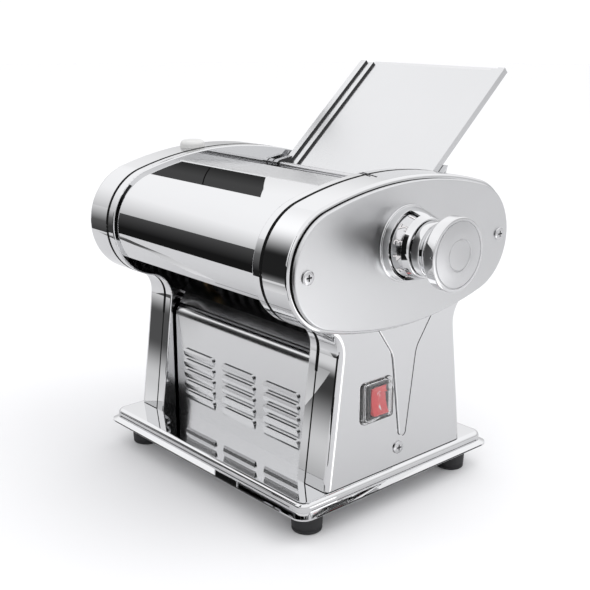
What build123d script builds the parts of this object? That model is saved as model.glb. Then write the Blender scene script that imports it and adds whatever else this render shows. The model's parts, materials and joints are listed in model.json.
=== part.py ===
from build123d import *
from math import acos, atan2, ceil, cos, degrees, hypot, pi, radians, sin, sqrt, tan
import os

# Electric pasta maker: a geared pair of dough rollers and a pair of cutter rollers between
# two side frames, driven by a geared motor in the base box.
# Millimetres. X is along the rollers (the dial side is +X), Y runs front (-) to back (+),
# Z is up and 0 is the table. Sections are drawn in the (y, z) plane and pushed along X.

# ---------------------------------------------------------------- driving dimensions
# base
base_width = 240.0
base_depth = 198.0
base_corner = 10.0
foot_height = 19.0
deck_z = 29.0
pan_sheet = 1.5
bead_height = 1.4
cove_height = 1.8
cove_inset = 4.0
deck_fillet = 3.5
bottom_plate_thick = 1.2
foot_top_radius = 11.75
foot_bottom_radius = 10.65
foot_inset_x = 20.7
foot_inset_y = 23.0
foot_screw_radius = 2.0
foot_screw_head_radius = 4.0
foot_screw_head_height = 2.2

# side outline: a four-arc oval head on a waisted pedestal
head_half_length = 105.5
head_half_height = 49.5
head_end_radius = 40.0
head_z = 187.3
rim_grow = 3.0
pedestal_half_bottom = 70.5
pedestal_half_top = 56.0
pedestal_top_z = 143.0
waist_fillet = 20.0

# side stack, from the middle of the machine outwards
frame_inner_x = 82.1
frame_thick = 8.0
gasket_thick = 1.4
gasket_inset = 1.2
pedestal_x = 112.9
pedestal_edge_fillet = 4.0
head_x = 116.2
head_edge_fillet = 2.2
shell_wall = 2.4
shell_lift = 0.5
seal_thick = 1.3
seal_inset = 1.5
cap_thick = 2.6
cap_edge_fillet = 1.2
vee_y = 2.7
vee_bottom_z = 52.0
vee_knee_z = 116.0
vee_bottom_half = 2.6
vee_knee_half = 11.5
vee_top_half = 30.0
vee_height = 1.4
vee_wall = 1.6
vee_edge_fillet = 0.5
vee_knee_fillet = 22.0
cap_screw_y = 95.0
screw_head_radius = 4.8
screw_head_height = 1.6
screw_head_round = 1.2
screw_shank_radius = 2.0
screw_depth = 9.0
screw_recess_length = 5.0
screw_recess_width = 1.0
screw_recess_floor = 0.6
pedestal_screw_z = 42.7
oil_plug_radius = 10.0
oil_plug_y = -17.5
oil_plug_height = 4.5

# dough rollers
roller_radius = 22.5
roller_half_length = 75.0
roller_gap = 0.5
roller_travel = 2.5
front_roller_y = -6.0
roller_z = 195.6
journal_radius = 8.0
running_clearance = 0.05
bush_wall = 3.0
bush_flange = 1.8
bush_flange_grow = 2.0
end_play = 0.4

# cutter rollers
cutter_disc_radius = 14.0
cutter_core_radius = 9.6
cutter_disc_width = 6.0
cutter_pitch = 13.0
cutter_discs = 11
cutter_journal_radius = 6.0
lower_cutter_y = -34.0
lower_cutter_z = 160.0
cutter_lean = 45.0
cutter_spacing = 24.15

# gears, all in the left housing
tooth_pressure_angle = 20.0
tooth_backlash = 0.36
drive_module = 2.0
drive_gear_teeth = 34
pinion_teeth = 12
idler_teeth = 21
cutter_drive_teeth = 15
sync_teeth = 20
cutter_sync_teeth = 12
gear_plane_gap = 2.4
sync_gear_width = 7.0
drive_gear_width = 7.0
pinion_bearing_radius = 5.0
pinion_angle = 258.4
idler_stud_radius = 4.0

# roller gap adjuster
adjuster_turn = 270.0
cam_radius = 21.0
cam_thick = 7.0
cam_groove_depth = 3.6
cam_groove_start = 12.5
cam_pin_radius = 2.4
block_length = 47.0
block_height = 26.0
block_clearance = 0.3
carriage_bar_offset = 28.0
carriage_bar_radius = 3.0
adjuster_shaft_radius = 6.0
adjuster_bush_wall = 2.5

# dial and knob
dial_y = front_roller_y
dial_z = roller_z
collar_flange_radius = 26.5
collar_flange_thick = 1.8
collar_back_radius = 25.3
collar_front_radius = 19.9
collar_length = 20.4
collar_wall = 1.6
window_start = 100.0
window_sweep = 150.0
window_from = 7.0
window_width = 8.5
drum_clearance = 0.7
knob_gap = 0.8
knob_barrel_radius = 18.9
knob_barrel_length = 6.5
knob_waist_radius = 15.6
knob_waist_length = 8.0
knob_head_radius = 24.7
knob_head_length = 9.8
knob_face_ring_radius = 10.4
knob_dome = 1.2

# rocker switch
switch_y = -23.6
switch_z = 85.2
bezel_width = 20.3
bezel_height = 25.4
bezel_thick = 2.0
switch_body_margin = 1.9
switch_body_depth = 17.0
rocker_width = 13.6
rocker_height = 19.4
rocker_swing = 16.0
rocker_rise = 2.6
rocker_pin_radius = 1.5
boot_brim_width = 31.0
boot_brim_height = 31.0
boot_brim_thick = 1.0
boot_fit = 0.4
boot_wall = 0.9
boot_top_width = 15.5
boot_top_height = 20.5
boot_height = 9.2

# sheet metal between the frames
sheet = 1.2
cover_inset = 2.5
cover_bottom_angle = 34.0
cover_hem = 7.0
top_rim_y = -48.0
top_rim_radius = 1.7
top_plate_back_y = 20.0
top_plate_back_z = 226.0
top_plate_lip = 11.0
rear_cover_top_y = 68.0
rear_cover_bottom_angle = 66.0
chute_lip_y = -53.0
chute_lip_z = 120.4
chute_lip_slope = 52.0
chute_lip_length = 9.3
chute_lip_gap = 4.2
chute_slope = 36.0
chute_length = 63.0
chute_back_rise = 4.0
chute_fold = 7.0
panel_y = 56.0
panel_side_gap = 2.6
panel_bend_radius = 9.0
panel_top_z = 119.0
panel_top_flange = 16.0
rear_slot_width = 36.0
rear_slot_height = 3.0
rear_slot_pitch_x = 48.0
rear_slot_pitch_z = 8.0
rear_slot_bottom_z = 84.0
rear_slot_rows = 4
louvre_columns = 3
louvre_rows = 5
louvre_width = 38.5
louvre_height = 7.2
louvre_pitch_x = 49.5
louvre_pitch_z = 9.0
louvre_top_z = 85.0
louvre_depth = 1.7
louvre_corner = 3.0
louvre_skin = 0.8
louvre_slot = 0.9

scraper_thick = 1.0
scraper_clearance = 0.4
scraper_reach = 6.0
scraper_drop = 7.5
scraper_foot = 5.0

guide_gap = 4.2
guide_clearance = 1.6
guide_flat = 11.0

# feed tray
tray_width = 155.5
tray_foot = 4.0
tray_end = 128.0
tray_angle = 41.7
tray_drop = 8.3
tray_rod_y = 49.5
tray_rod_z = 221.0
tray_rod_radius = 2.5
tray_rail_height = 3.8
tray_rail_step = 1.9
tray_rail_width = 14.0
tray_rail_top = 6.4
tray_lip = 5.5
tray_lip_bend = 25.0
tray_lip_corner = 4.0
knuckle_wall = 1.4
knuckle_length = 5.0
knuckle_foot = 14.0
apron_start = 12.0
apron_end = 32.0
apron_gap = 0.4

# motor, gearbox and inlet
motor_radius = 33.0
motor_length = 112.0
motor_y = 0.0
motor_z = 72.0
gearbox_depth = 26.0
gearbox_motor_radius = 36.0
gearbox_output_radius = 14.0
saddle_width = 18.0
saddle_spacing = 60.0
saddle_half_depth = 26.0
inlet_width = 27.0
inlet_height = 19.5
inlet_flange_width = 32.0
inlet_flange_height = 25.0
inlet_flange_thick = 2.5
inlet_depth = 18.0
inlet_wall = 2.0
inlet_x = 38.0
inlet_z = 52.0
inlet_pin_pitch = 7.0
tie_rod_radius = 4.0
tie_rod_places = [(-88.0, 190.0), (88.0, 190.0), (-40.0, 110.0), (47.5, 118.0)]

# ---------------------------------------------------------------- places worked out from them
frame_outer_x = frame_inner_x + frame_thick
shell_x = frame_outer_x + gasket_thick
seal_x = head_x
cap_x = seal_x + seal_thick
cap_face_x = cap_x + cap_thick

nip_y = front_roller_y + roller_radius + roller_gap / 2
rear_roller_y = nip_y + roller_gap / 2 + roller_radius
roller_spacing = rear_roller_y - front_roller_y
upper_cutter_y = lower_cutter_y - cutter_spacing * sin(radians(cutter_lean))
upper_cutter_z = lower_cutter_z + cutter_spacing * cos(radians(cutter_lean))

collar_x = cap_face_x
drum_x = collar_x + 3.0
knob_x = collar_x + collar_length + knob_gap
knob_head_x = knob_x + knob_barrel_length + knob_waist_length
knob_face_x = knob_head_x + knob_head_length

sync_gear_x = frame_outer_x + gear_plane_gap
drive_gear_x = sync_gear_x + sync_gear_width + gear_plane_gap
drive_gear_end_x = drive_gear_x + drive_gear_width

tray_back_y = (
    tray_rod_y
    + tray_end * cos(radians(tray_angle))
    + tray_drop * sin(radians(tray_angle))
    + tray_lip * cos(radians(tray_angle - tray_lip_bend))
)

# the exported parts share one origin: under the middle of the overall box, on the table
origin_x = (knob_face_x + knob_dome - cap_face_x) / 2
origin_y = (tray_back_y - head_half_length - rim_grow) / 2


# ---------------------------------------------------------------- helpers
def slab(sketch, x0, x1):
    """Push a (y, z) sketch along X from x0 to x1."""
    return extrude(Plane.YZ.offset(min(x0, x1)) * sketch, abs(x1 - x0))


def rod(x0, x1, y, z, radius):
    """Round bar along X."""
    return slab(Pos(y, z) * Circle(radius), x0, x1)


def block(x0, x1, y0, y1, z0, z1):
    """Square-edged block between two corners."""
    return Pos((x0 + x1) / 2, (y0 + y1) / 2, (z0 + z1) / 2) * Box(
        abs(x1 - x0), abs(y1 - y0), abs(z1 - z0)
    )


def turned(points, y, z):
    """Revolve an (x, radius) outline about the X line through (y, z)."""
    outline = make_face(Polyline(*points, close=True))
    about_x = Plane(origin=(0, y, z), x_dir=(1, 0, 0), z_dir=(0, -1, 0))
    return revolve(about_x * outline, Axis((0, y, z), (1, 0, 0)))


def other_side(part):
    """The same part on the left of the machine."""
    return mirror(part, Plane.YZ)


def polar(angle, radius):
    """Point at an angle in degrees."""
    return (radius * cos(radians(angle)), radius * sin(radians(angle)))


# ---------------------------------------------------------------- side outline
def oval(grow=0.0):
    """Head outline: two end arcs and two long arcs, all tangent."""
    end = head_end_radius
    centre = head_half_length - end
    long = (centre**2 + head_half_height**2 - end**2) / (2 * (head_half_height - end))
    drop = long - head_half_height
    reach = degrees(atan2(drop, centre))
    arcs = [
        CenterArc((centre, 0), end + grow, -reach, 2 * reach),
        CenterArc((0, -drop), long + grow, reach, 180 - 2 * reach),
        CenterArc((-centre, 0), end + grow, 180 - reach, 2 * reach),
        CenterArc((0, drop), long + grow, 180 + reach, 180 - 2 * reach),
    ]
    return Pos(0, head_z) * make_face(Curve() + arcs)


def side_outline(grow, foot_z):
    """Oval head joined to the pedestal, whose flanks run on into it, by the waist curves."""
    lean = (pedestal_half_bottom - pedestal_half_top) / (pedestal_top_z - deck_z)
    low = pedestal_half_bottom + grow - rim_grow - lean * (foot_z - deck_z)
    high = pedestal_half_top + grow - rim_grow - lean * (head_z - pedestal_top_z)
    pedestal = make_face(
        Polyline((-low, foot_z), (low, foot_z), (high, head_z), (-high, head_z), close=True)
    )
    joined = oval(grow) + pedestal
    waist = [v for v in joined.vertices() if foot_z + 1 < v.Y < head_z]
    waist.sort(key=lambda v: abs(v.X))
    return fillet(waist[:2], waist_fillet - grow + rim_grow)


# ---------------------------------------------------------------- base
def plan(width, depth, corner):
    """Rounded rectangle in plan."""
    return RectangleRounded(width, depth, corner)


def base_pan():
    """Pressed pan: bead, cove, side band and rounded deck, open underneath."""
    cove_z = foot_height + bead_height
    band_z = cove_z + cove_height
    band_width = base_width - 2 * cove_inset
    band_depth = base_depth - 2 * cove_inset
    bead = extrude(Pos(0, 0, foot_height) * plan(base_width, base_depth, base_corner), bead_height)
    bead = fillet(bead.edges().group_by(Axis.Z)[0], 0.5)
    cove = loft(
        [
            Pos(0, 0, cove_z) * plan(base_width, base_depth, base_corner),
            Pos(0, 0, band_z) * plan(band_width, band_depth, base_corner - cove_inset / 2),
        ],
        ruled=True,
    )
    band = extrude(
        Pos(0, 0, band_z) * plan(band_width, band_depth, base_corner - cove_inset / 2),
        deck_z - band_z,
    )
    band = fillet(band.edges().group_by(Axis.Z)[-1], deck_fillet)
    inner = base_corner - cove_inset / 2 - pan_sheet / 2
    hollow = extrude(
        Pos(0, 0, foot_height)
        * plan(band_width - 2 * pan_sheet, band_depth - 2 * pan_sheet, inner),
        deck_z - pan_sheet - foot_height,
    )
    return bead + cove + band - hollow


def base_bottom_plate():
    """Flat plate that closes the pan, with two rows of air slots."""
    width = base_width - 2 * cove_inset - 2 * pan_sheet
    depth = base_depth - 2 * cove_inset - 2 * pan_sheet
    inner = base_corner - cove_inset / 2 - pan_sheet / 2
    plate = extrude(Pos(0, 0, foot_height) * plan(width, depth, inner), bottom_plate_thick)
    slot = extrude(Pos(0, 0, foot_height) * SlotOverall(44, 4), bottom_plate_thick)
    for x in (-40, 40):
        for row in range(5):
            plate -= Pos(x, (row - 2) * 12, 0) * slot
    for x, y in foot_places():
        plate -= Pos(x, y, foot_height) * Cylinder(
            foot_screw_radius, bottom_plate_thick, align=(Align.CENTER, Align.CENTER, Align.MIN)
        )
    return plate


def foot_places():
    """Centres of the four feet."""
    x = base_width / 2 - foot_inset_x
    y = base_depth / 2 - foot_inset_y
    return [(-x, -y), (x, -y), (x, y), (-x, y)]


def feet():
    """Four tapered rubber feet, each recessed for its screw."""
    up = (Align.CENTER, Align.CENTER, Align.MIN)
    foot = Cone(foot_bottom_radius, foot_top_radius, foot_height, align=up)
    foot = fillet(foot.edges().group_by(Axis.Z)[0], 1.2)
    recess = Cylinder(foot_screw_head_radius + 1.0, foot_height / 2, align=up)
    hole = Cylinder(foot_screw_radius, foot_height, align=up)
    foot = foot - recess - hole
    return Compound(children=[Pos(x, y, 0) * foot for x, y in foot_places()])


def foot_screws():
    """Screws that hold the feet to the bottom plate, with a nut above it."""
    up = (Align.CENTER, Align.CENTER, Align.MIN)
    seat = foot_height / 2
    shank = Pos(0, 0, seat) * Cylinder(foot_screw_radius, deck_z - pan_sheet - 3 - seat, align=up)
    head = Pos(0, 0, seat - foot_screw_head_height) * Cylinder(
        foot_screw_head_radius, foot_screw_head_height, align=up
    )
    nut = extrude(
        Pos(0, 0, foot_height + bottom_plate_thick) * RegularPolygon(3.8, 6), 3.2
    )
    screw = shank + head + nut
    return Compound(children=[Pos(x, y, 0) * screw for x, y in foot_places()])


# ---------------------------------------------------------------- side frames and housings
def frame_plate():
    """Thick polished side plate with the bearing holes and the slot for the front bearing."""
    plate = slab(side_outline(rim_grow, deck_z), frame_inner_x, frame_outer_x)
    rim = plate.faces().sort_by(Axis.X)[0].edges()
    plate = fillet([e for e in rim if e.center().Z > deck_z + 1], 1.2)
    through = (frame_inner_x, frame_outer_x)
    plate -= rod(*through, rear_roller_y, roller_z, journal_radius + bush_wall)
    for y, z in ((upper_cutter_y, upper_cutter_z), (lower_cutter_y, lower_cutter_z)):
        plate -= rod(*through, y, z, cutter_journal_radius + bush_wall)
    low, high = block_span()
    window = Pos((low + high) / 2 - roller_travel / 2, roller_z) * Rectangle(
        high - low + roller_travel + 2 * block_clearance, block_height + 2 * block_clearance
    )
    plate -= slab(window, *through)
    for y, z in tie_rod_places:
        plate -= rod(*through, y, z, tie_rod_radius - 1)
    return plate


def left_side_plate():
    """Left frame: also passes the gearbox shaft and carries the idler stud."""
    plate = other_side(frame_plate())
    y, z = pinion_place()
    plate -= rod(-frame_outer_x, -frame_inner_x, y, z, pinion_bearing_radius + 1)
    y, z = idler_place()
    return plate - rod(-frame_outer_x, -frame_inner_x, y, z, idler_stud_radius)


def gasket():
    """Black seam between frame and housing."""
    ring = side_outline(rim_grow - gasket_inset, deck_z) - side_outline(
        rim_grow - shell_wall, deck_z - 1
    )
    return slab(ring, frame_outer_x, shell_x)


def housing_shell():
    """Drawn housing: waisted pedestal, head drawn further out, V-shaped raised panel."""
    foot_z = deck_z + shell_lift
    body = slab(side_outline(rim_grow, foot_z), shell_x, pedestal_x)
    edges = body.faces().sort_by(Axis.X)[-1].edges()
    body = fillet([e for e in edges if e.center().Z > foot_z + 1], pedestal_edge_fillet)
    hollow = slab(side_outline(rim_grow - shell_wall, foot_z - 1), shell_x, pedestal_x - shell_wall)
    hollow += slab(oval(rim_grow - shell_wall), shell_x, head_x - shell_wall)
    face_x = pedestal_x + vee_height
    panel = slab(vee_outline(0), pedestal_x - shell_wall, face_x)
    edges = panel.faces().sort_by(Axis.X)[-1].edges()
    panel = fillet([e for e in edges if e.center().Z < head_z - head_half_height], vee_edge_fillet)
    shell = body + panel + head_drum() - hollow
    shell -= slab(vee_outline(vee_wall), pedestal_x - shell_wall - 1, face_x - vee_wall)
    for y in (-cap_screw_y, cap_screw_y):
        shell -= rod(head_x - shell_wall, head_x, y, head_z, screw_shank_radius)
    return shell - rod(
        pedestal_x - shell_wall, pedestal_x, 0, pedestal_screw_z, screw_shank_radius
    )


def head_drum():
    """Oval drum of the head with its rounded outer rim, before hollowing."""
    drum = slab(oval(rim_grow), shell_x, head_x)
    return fillet(drum.faces().sort_by(Axis.X)[-1].edges(), head_edge_fillet)


def vee_outline(inset):
    """V-shaped panel that narrows down to the pedestal screw, drawn in by an inset."""
    top = head_z - head_half_height + 4
    low = vee_bottom_z + inset
    grow = (vee_knee_half - vee_bottom_half) / (vee_knee_z - vee_bottom_z) * inset
    half = vee_bottom_half - inset + grow
    face = make_face(
        Polyline(
            (-half, low),
            (half, low),
            (vee_knee_half - inset, vee_knee_z),
            (vee_top_half - inset, top),
            (-vee_top_half + inset, top),
            (-vee_knee_half + inset, vee_knee_z),
            close=True,
        )
    )
    tip = [v for v in face.vertices() if v.Y < low + 1]
    face = fillet(tip, half * 0.9)
    knees = [v for v in face.vertices() if abs(v.Y - vee_knee_z) < 0.5]
    return Pos(vee_y, 0) * fillet(knees, vee_knee_fillet)


def right_shell():
    """Right housing with the switch cut-out and the hole for the adjuster bush."""
    shell = housing_shell()
    shell -= block(
        pedestal_x - shell_wall - 2,
        pedestal_x + 1,
        switch_y - bezel_width / 2 + switch_body_margin,
        switch_y + bezel_width / 2 - switch_body_margin,
        switch_z - bezel_height / 2 + switch_body_margin,
        switch_z + bezel_height / 2 - switch_body_margin,
    )
    return shell - rod(head_x - shell_wall - 1, head_x + 1, dial_y, dial_z, bush_outer())


def left_shell():
    """Left housing with the oiling hole in its crown."""
    shell = other_side(housing_shell())
    x = -(shell_x + head_x) / 2
    z = head_z + head_half_height
    return shell - Pos(x, oil_plug_y, z) * Cylinder(oil_plug_radius / 2, 8 * shell_wall)


def oil_plug():
    """Domed plug over the gear oiling hole in the left crown."""
    x = -(shell_x + head_x) / 2
    crown = head_z + head_half_height
    up = (Align.CENTER, Align.CENTER, Align.MIN)
    cap = Pos(x, oil_plug_y, crown) * Cylinder(oil_plug_radius, oil_plug_height + rim_grow, align=up)
    cap = fillet(cap.edges().group_by(Axis.Z)[-1], oil_plug_height * 0.8)
    stem = Pos(x, oil_plug_y, crown - 6) * Cylinder(oil_plug_radius / 2, 8 + rim_grow, align=up)
    return cap - slab(oval(rim_grow), -shell_x, -head_x - 1) + stem


def cap_seal():
    """Black seam between the housing's head and its end cap."""
    return slab(oval(-seal_inset) - oval(-seal_inset - 3), seal_x, cap_x)


def end_cap():
    """Satin oval end cap."""
    cap = slab(oval(), cap_x, cap_face_x)
    cap = fillet(cap.faces().sort_by(Axis.X)[-1].edges(), cap_edge_fillet)
    cap += slab(oval(-seal_inset - 3), head_x, cap_x)
    for y in (-cap_screw_y, cap_screw_y):
        cap -= rod(head_x, cap_face_x, y, head_z, screw_shank_radius)
    return cap


def right_end_cap():
    """Right cap, bored for the adjuster bush."""
    return end_cap() - rod(head_x - 1, cap_face_x + 1, dial_y, dial_z, bush_outer())


def pan_head_screw(x, y, z, depth):
    """Cross-head screw seated on the face at x and pointing inwards."""
    head = rod(x, x + screw_head_height, y, z, screw_head_radius)
    head = fillet(head.faces().sort_by(Axis.X)[-1].edges(), screw_head_round)
    for turn in (0, 90):
        arm = Rot(0, 0, turn) * Rectangle(screw_recess_length, screw_recess_width)
        head -= slab(Pos(y, z) * arm, x + screw_recess_floor, x + screw_head_height)
    return head + rod(x - depth, x, y, z, screw_shank_radius)


def housing_screws():
    """Two cap screws and the pedestal screw of one side."""
    return Compound(
        children=[
            pan_head_screw(cap_face_x, -cap_screw_y, head_z, screw_depth),
            pan_head_screw(cap_face_x, cap_screw_y, head_z, screw_depth),
            pan_head_screw(pedestal_x, 0, pedestal_screw_z, screw_depth),
        ]
    )


# ---------------------------------------------------------------- rollers
def dough_roller(y, left_end):
    """Smooth 150 mm roller with stepped journals, the left one long enough for its gear."""
    body = rod(-roller_half_length, roller_half_length, y, roller_z, roller_radius)
    body = chamfer(body.edges(), 0.8)
    shoulder = frame_inner_x - bush_flange - end_play
    body += rod(-shoulder, shoulder, y, roller_z, journal_radius + 2)
    return body + rod(-left_end, frame_outer_x - 0.5, y, roller_z, journal_radius)


def front_dough_roller():
    return dough_roller(front_roller_y, sync_gear_x + sync_gear_width)


def rear_dough_roller():
    return dough_roller(rear_roller_y, drive_gear_end_x)


def bush(y, z, bore):
    """Flanged bronze bush in the right frame."""
    outer = bore - running_clearance + bush_wall
    ring = rod(frame_inner_x, frame_outer_x, y, z, outer)
    ring += rod(frame_inner_x - bush_flange, frame_inner_x, y, z, outer + bush_flange_grow)
    return ring - rod(frame_inner_x - bush_flange - 1, frame_outer_x + 1, y, z, bore)


def roller_bushes():
    """Flanged bushes of the rear dough roller and both cutters, in both frames."""
    dough = journal_radius + running_clearance
    cutter = cutter_journal_radius + running_clearance
    right = [
        bush(rear_roller_y, roller_z, dough),
        bush(upper_cutter_y, upper_cutter_z, cutter),
        bush(lower_cutter_y, lower_cutter_z, cutter),
    ]
    return Compound(children=right + [other_side(b) for b in right])


def cutter(y, z, disc_at_middle, left_end):
    """Roller of cutting discs that run in the grooves of its mate."""
    half = roller_half_length
    body = rod(-half, half, y, z, cutter_core_radius)
    count = cutter_discs if disc_at_middle else cutter_discs - 1
    for disc in range(count):
        x = (disc - (count - 1) / 2) * cutter_pitch
        body += rod(x - cutter_disc_width / 2, x + cutter_disc_width / 2, y, z, cutter_disc_radius)
    shoulder = frame_inner_x - bush_flange - end_play
    body += rod(-shoulder, shoulder, y, z, cutter_journal_radius + 1.5)
    return body + rod(-left_end, frame_outer_x - 0.5, y, z, cutter_journal_radius)


def upper_cutter():
    return cutter(upper_cutter_y, upper_cutter_z, True, sync_gear_x + sync_gear_width)


def lower_cutter():
    return cutter(lower_cutter_y, lower_cutter_z, False, drive_gear_end_x)


# ---------------------------------------------------------------- gears
def involute(angle):
    return tan(angle) - angle


def gear_sketch(teeth, module, phase, addendum=1.0, dedendum=1.25):
    """Spur gear outline; a tooth is centred on the phase angle in degrees."""
    pitch = teeth * module / 2
    base = pitch * cos(radians(tooth_pressure_angle))
    tip = pitch + addendum * module
    root = pitch - dedendum * module
    half_tooth = (pi * module / 2 - tooth_backlash) / 2 / pitch
    spread = half_tooth + involute(radians(tooth_pressure_angle))
    low = max(base, root)
    radii = [low, (low + pitch) / 2, pitch, tip] if low < pitch else [pitch, tip]
    flank = [(r, spread - involute(acos(min(1.0, base / r)))) for r in radii]
    if root < low:
        flank.insert(0, (root, flank[0][1]))
    points = []
    for tooth in range(teeth):
        middle = radians(phase) + 2 * pi * tooth / teeth
        points += [(r * cos(middle - a), r * sin(middle - a)) for r, a in flank]
        points += [(r * cos(middle + a), r * sin(middle + a)) for r, a in reversed(flank)]
    return make_face(Polyline(*points, close=True))


def meshing_phase(phase_a, teeth_a, place_a, teeth_b, place_b):
    """Phase of gear b that puts its tooth in a gap of gear a, in degrees."""
    line = degrees(atan2(place_b[1] - place_a[1], place_b[0] - place_a[0]))
    step = 180 / teeth_a
    return line + 180 - (phase_a - line + step) * teeth_a / teeth_b


def left_gear(sketch, place, bore, x0, width):
    """Gear blank on the left side, bored for its shaft."""
    return slab(Pos(*place) * (sketch - Circle(bore)), -x0 - width, -x0)


def pinion_place():
    """Gearbox output, below the rear dough roller."""
    spacing = drive_module * (drive_gear_teeth + pinion_teeth) / 2
    dy, dz = polar(pinion_angle, spacing)
    return (rear_roller_y + dy, roller_z + dz)


def idler_place():
    """Idler between the pinion and the lower cutter, hung below the line that joins them."""
    start = pinion_place()
    end = (lower_cutter_y, lower_cutter_z)
    a = drive_module * (pinion_teeth + idler_teeth) / 2
    b = drive_module * (idler_teeth + cutter_drive_teeth) / 2
    span = hypot(end[0] - start[0], end[1] - start[1])
    along = (a * a - b * b + span * span) / (2 * span)
    below = sqrt(max(0.0, a * a - along * along))
    uy, uz = (end[0] - start[0]) / span, (end[1] - start[1]) / span
    return (start[0] + uy * along - uz * below, start[1] + uz * along + uy * below)


def drive_phases():
    """Phases of the drive train, from the rear roller's gear to the lower cutter."""
    rear = (rear_roller_y, roller_z)
    lower = (lower_cutter_y, lower_cutter_z)
    pinion = meshing_phase(0, drive_gear_teeth, rear, pinion_teeth, pinion_place())
    idler = meshing_phase(pinion, pinion_teeth, pinion_place(), idler_teeth, idler_place())
    cutter_gear = meshing_phase(idler, idler_teeth, idler_place(), cutter_drive_teeth, lower)
    return pinion, idler, cutter_gear


def drive_gear():
    sketch = gear_sketch(drive_gear_teeth, drive_module, 0)
    for turn in range(5):
        sketch -= Pos(*polar(turn * 72 + 36, 21)) * Circle(5.5)
    place = (rear_roller_y, roller_z)
    return left_gear(sketch, place, journal_radius, drive_gear_x, drive_gear_width)


def output_pinion():
    """Pinion in one piece with the gearbox output shaft."""
    y, z = pinion_place()
    sketch = gear_sketch(pinion_teeth, drive_module, drive_phases()[0])
    gear = slab(Pos(y, z) * sketch, -drive_gear_end_x, -drive_gear_x)
    shaft_end = frame_inner_x - gearbox_depth * 0.6
    return gear + rod(-drive_gear_x, -shaft_end, y, z, pinion_bearing_radius)


def idler_gear():
    sketch = gear_sketch(idler_teeth, drive_module, drive_phases()[1])
    bore = idler_stud_radius + running_clearance
    return left_gear(sketch, idler_place(), bore, drive_gear_x, drive_gear_width)


def idler_stud():
    """Shouldered stud in the left frame that the idler turns on."""
    y, z = idler_place()
    stud = rod(-drive_gear_end_x - 0.6, -frame_inner_x, y, z, idler_stud_radius)
    stud += rod(-drive_gear_x + 0.4, -frame_outer_x, y, z, idler_stud_radius + 3)
    head = rod(-drive_gear_end_x - 1.6, -drive_gear_end_x - 0.4, y, z, idler_stud_radius + 2)
    return stud + head


def sync_module():
    return roller_spacing / sync_teeth


def roller_sync_gear(y, phase):
    """Deep-toothed gear that keeps the dough rollers in step at any gap."""
    sketch = gear_sketch(sync_teeth, sync_module(), phase, 0.95, 1.3)
    return left_gear(sketch, (y, roller_z), journal_radius, sync_gear_x, sync_gear_width)


def rear_roller_gear():
    return roller_sync_gear(rear_roller_y, 0)


def front_roller_gear():
    rear = (rear_roller_y, roller_z)
    front = (front_roller_y, roller_z)
    return roller_sync_gear(front_roller_y, meshing_phase(0, sync_teeth, rear, sync_teeth, front))


def lower_cutter_gear():
    """Cluster gear of the lower cutter: driven by the idler, drives the upper cutter."""
    place = (lower_cutter_y, lower_cutter_z)
    drive = gear_sketch(cutter_drive_teeth, drive_module, drive_phases()[2])
    sync = gear_sketch(cutter_sync_teeth, cutter_spacing / cutter_sync_teeth, 0)
    reach = drive_gear_x - sync_gear_x
    cluster = left_gear(sync, place, cutter_journal_radius, sync_gear_x, sync_gear_width)
    hub = Circle(cutter_journal_radius + 2.5)
    cluster += left_gear(hub, place, cutter_journal_radius, sync_gear_x, reach)
    return cluster + left_gear(
        drive, place, cutter_journal_radius, drive_gear_x, drive_gear_width
    )


def upper_cutter_gear():
    lower = (lower_cutter_y, lower_cutter_z)
    upper = (upper_cutter_y, upper_cutter_z)
    phase = meshing_phase(0, cutter_sync_teeth, lower, cutter_sync_teeth, upper)
    sketch = gear_sketch(cutter_sync_teeth, cutter_spacing / cutter_sync_teeth, phase)
    return left_gear(sketch, upper, cutter_journal_radius, sync_gear_x, sync_gear_width)


# ---------------------------------------------------------------- gap adjuster
def block_span():
    """Front and back ends of the sliding bearing block."""
    back = front_roller_y + journal_radius + 5
    return back - block_length, back


def bearing_block(x0, x1):
    """Sliding bearing of the front dough roller, joined to the other by the carriage bar."""
    low, high = block_span()
    plate = Pos((low + high) / 2, roller_z) * RectangleRounded(high - low, block_height, 2)
    body = slab(plate, x0, x1)
    body -= rod(x0 - 1, x1 + 1, front_roller_y, roller_z, journal_radius + running_clearance)
    return body - rod(
        x0 - 1, x1 + 1, front_roller_y - carriage_bar_offset, roller_z, carriage_bar_radius
    )


def left_bearing_block():
    return bearing_block(-frame_outer_x + 0.6, -frame_inner_x - 0.1)


def right_bearing_block():
    """Right block, with the pin that the adjuster's spiral groove moves."""
    body = bearing_block(frame_inner_x + 0.1, frame_outer_x - 0.4)
    pin_y = front_roller_y - cam_groove_start
    pin_end = cam_x() + cam_groove_depth - 0.4
    return body + rod(frame_outer_x - 0.4, pin_end, pin_y, roller_z, cam_pin_radius)


def carriage_bar():
    """Bar that keeps both bearing blocks level."""
    y = front_roller_y - carriage_bar_offset
    return rod(-frame_outer_x + 0.6, frame_outer_x - 0.4, y, roller_z, carriage_bar_radius)


def cam_x():
    return frame_outer_x + 1.6


def cam_groove():
    """Spiral groove: its radius grows evenly with the turn, so the gap opens evenly."""
    turn = radians(adjuster_turn)
    rise = roller_travel / turn
    half = cam_pin_radius + 0.2
    steps = 18
    inner, outer = [], []
    for step in range(steps + 1):
        angle = turn * step / steps
        middle = cam_groove_start + rise * angle
        for line, radius in ((inner, middle - half), (outer, middle + half)):
            line.append((-radius * cos(angle), radius * sin(angle)))
    sides = [Spline(*inner), Line(inner[-1], outer[-1]), Spline(*outer), Line(outer[0], inner[0])]
    groove = make_face(Curve() + sides)
    first = Pos(-cam_groove_start, 0) * Circle(half)
    end = cam_groove_start + roller_travel
    last = Pos(-end * cos(turn), end * sin(turn)) * Circle(half)
    return groove + first + last


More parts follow.
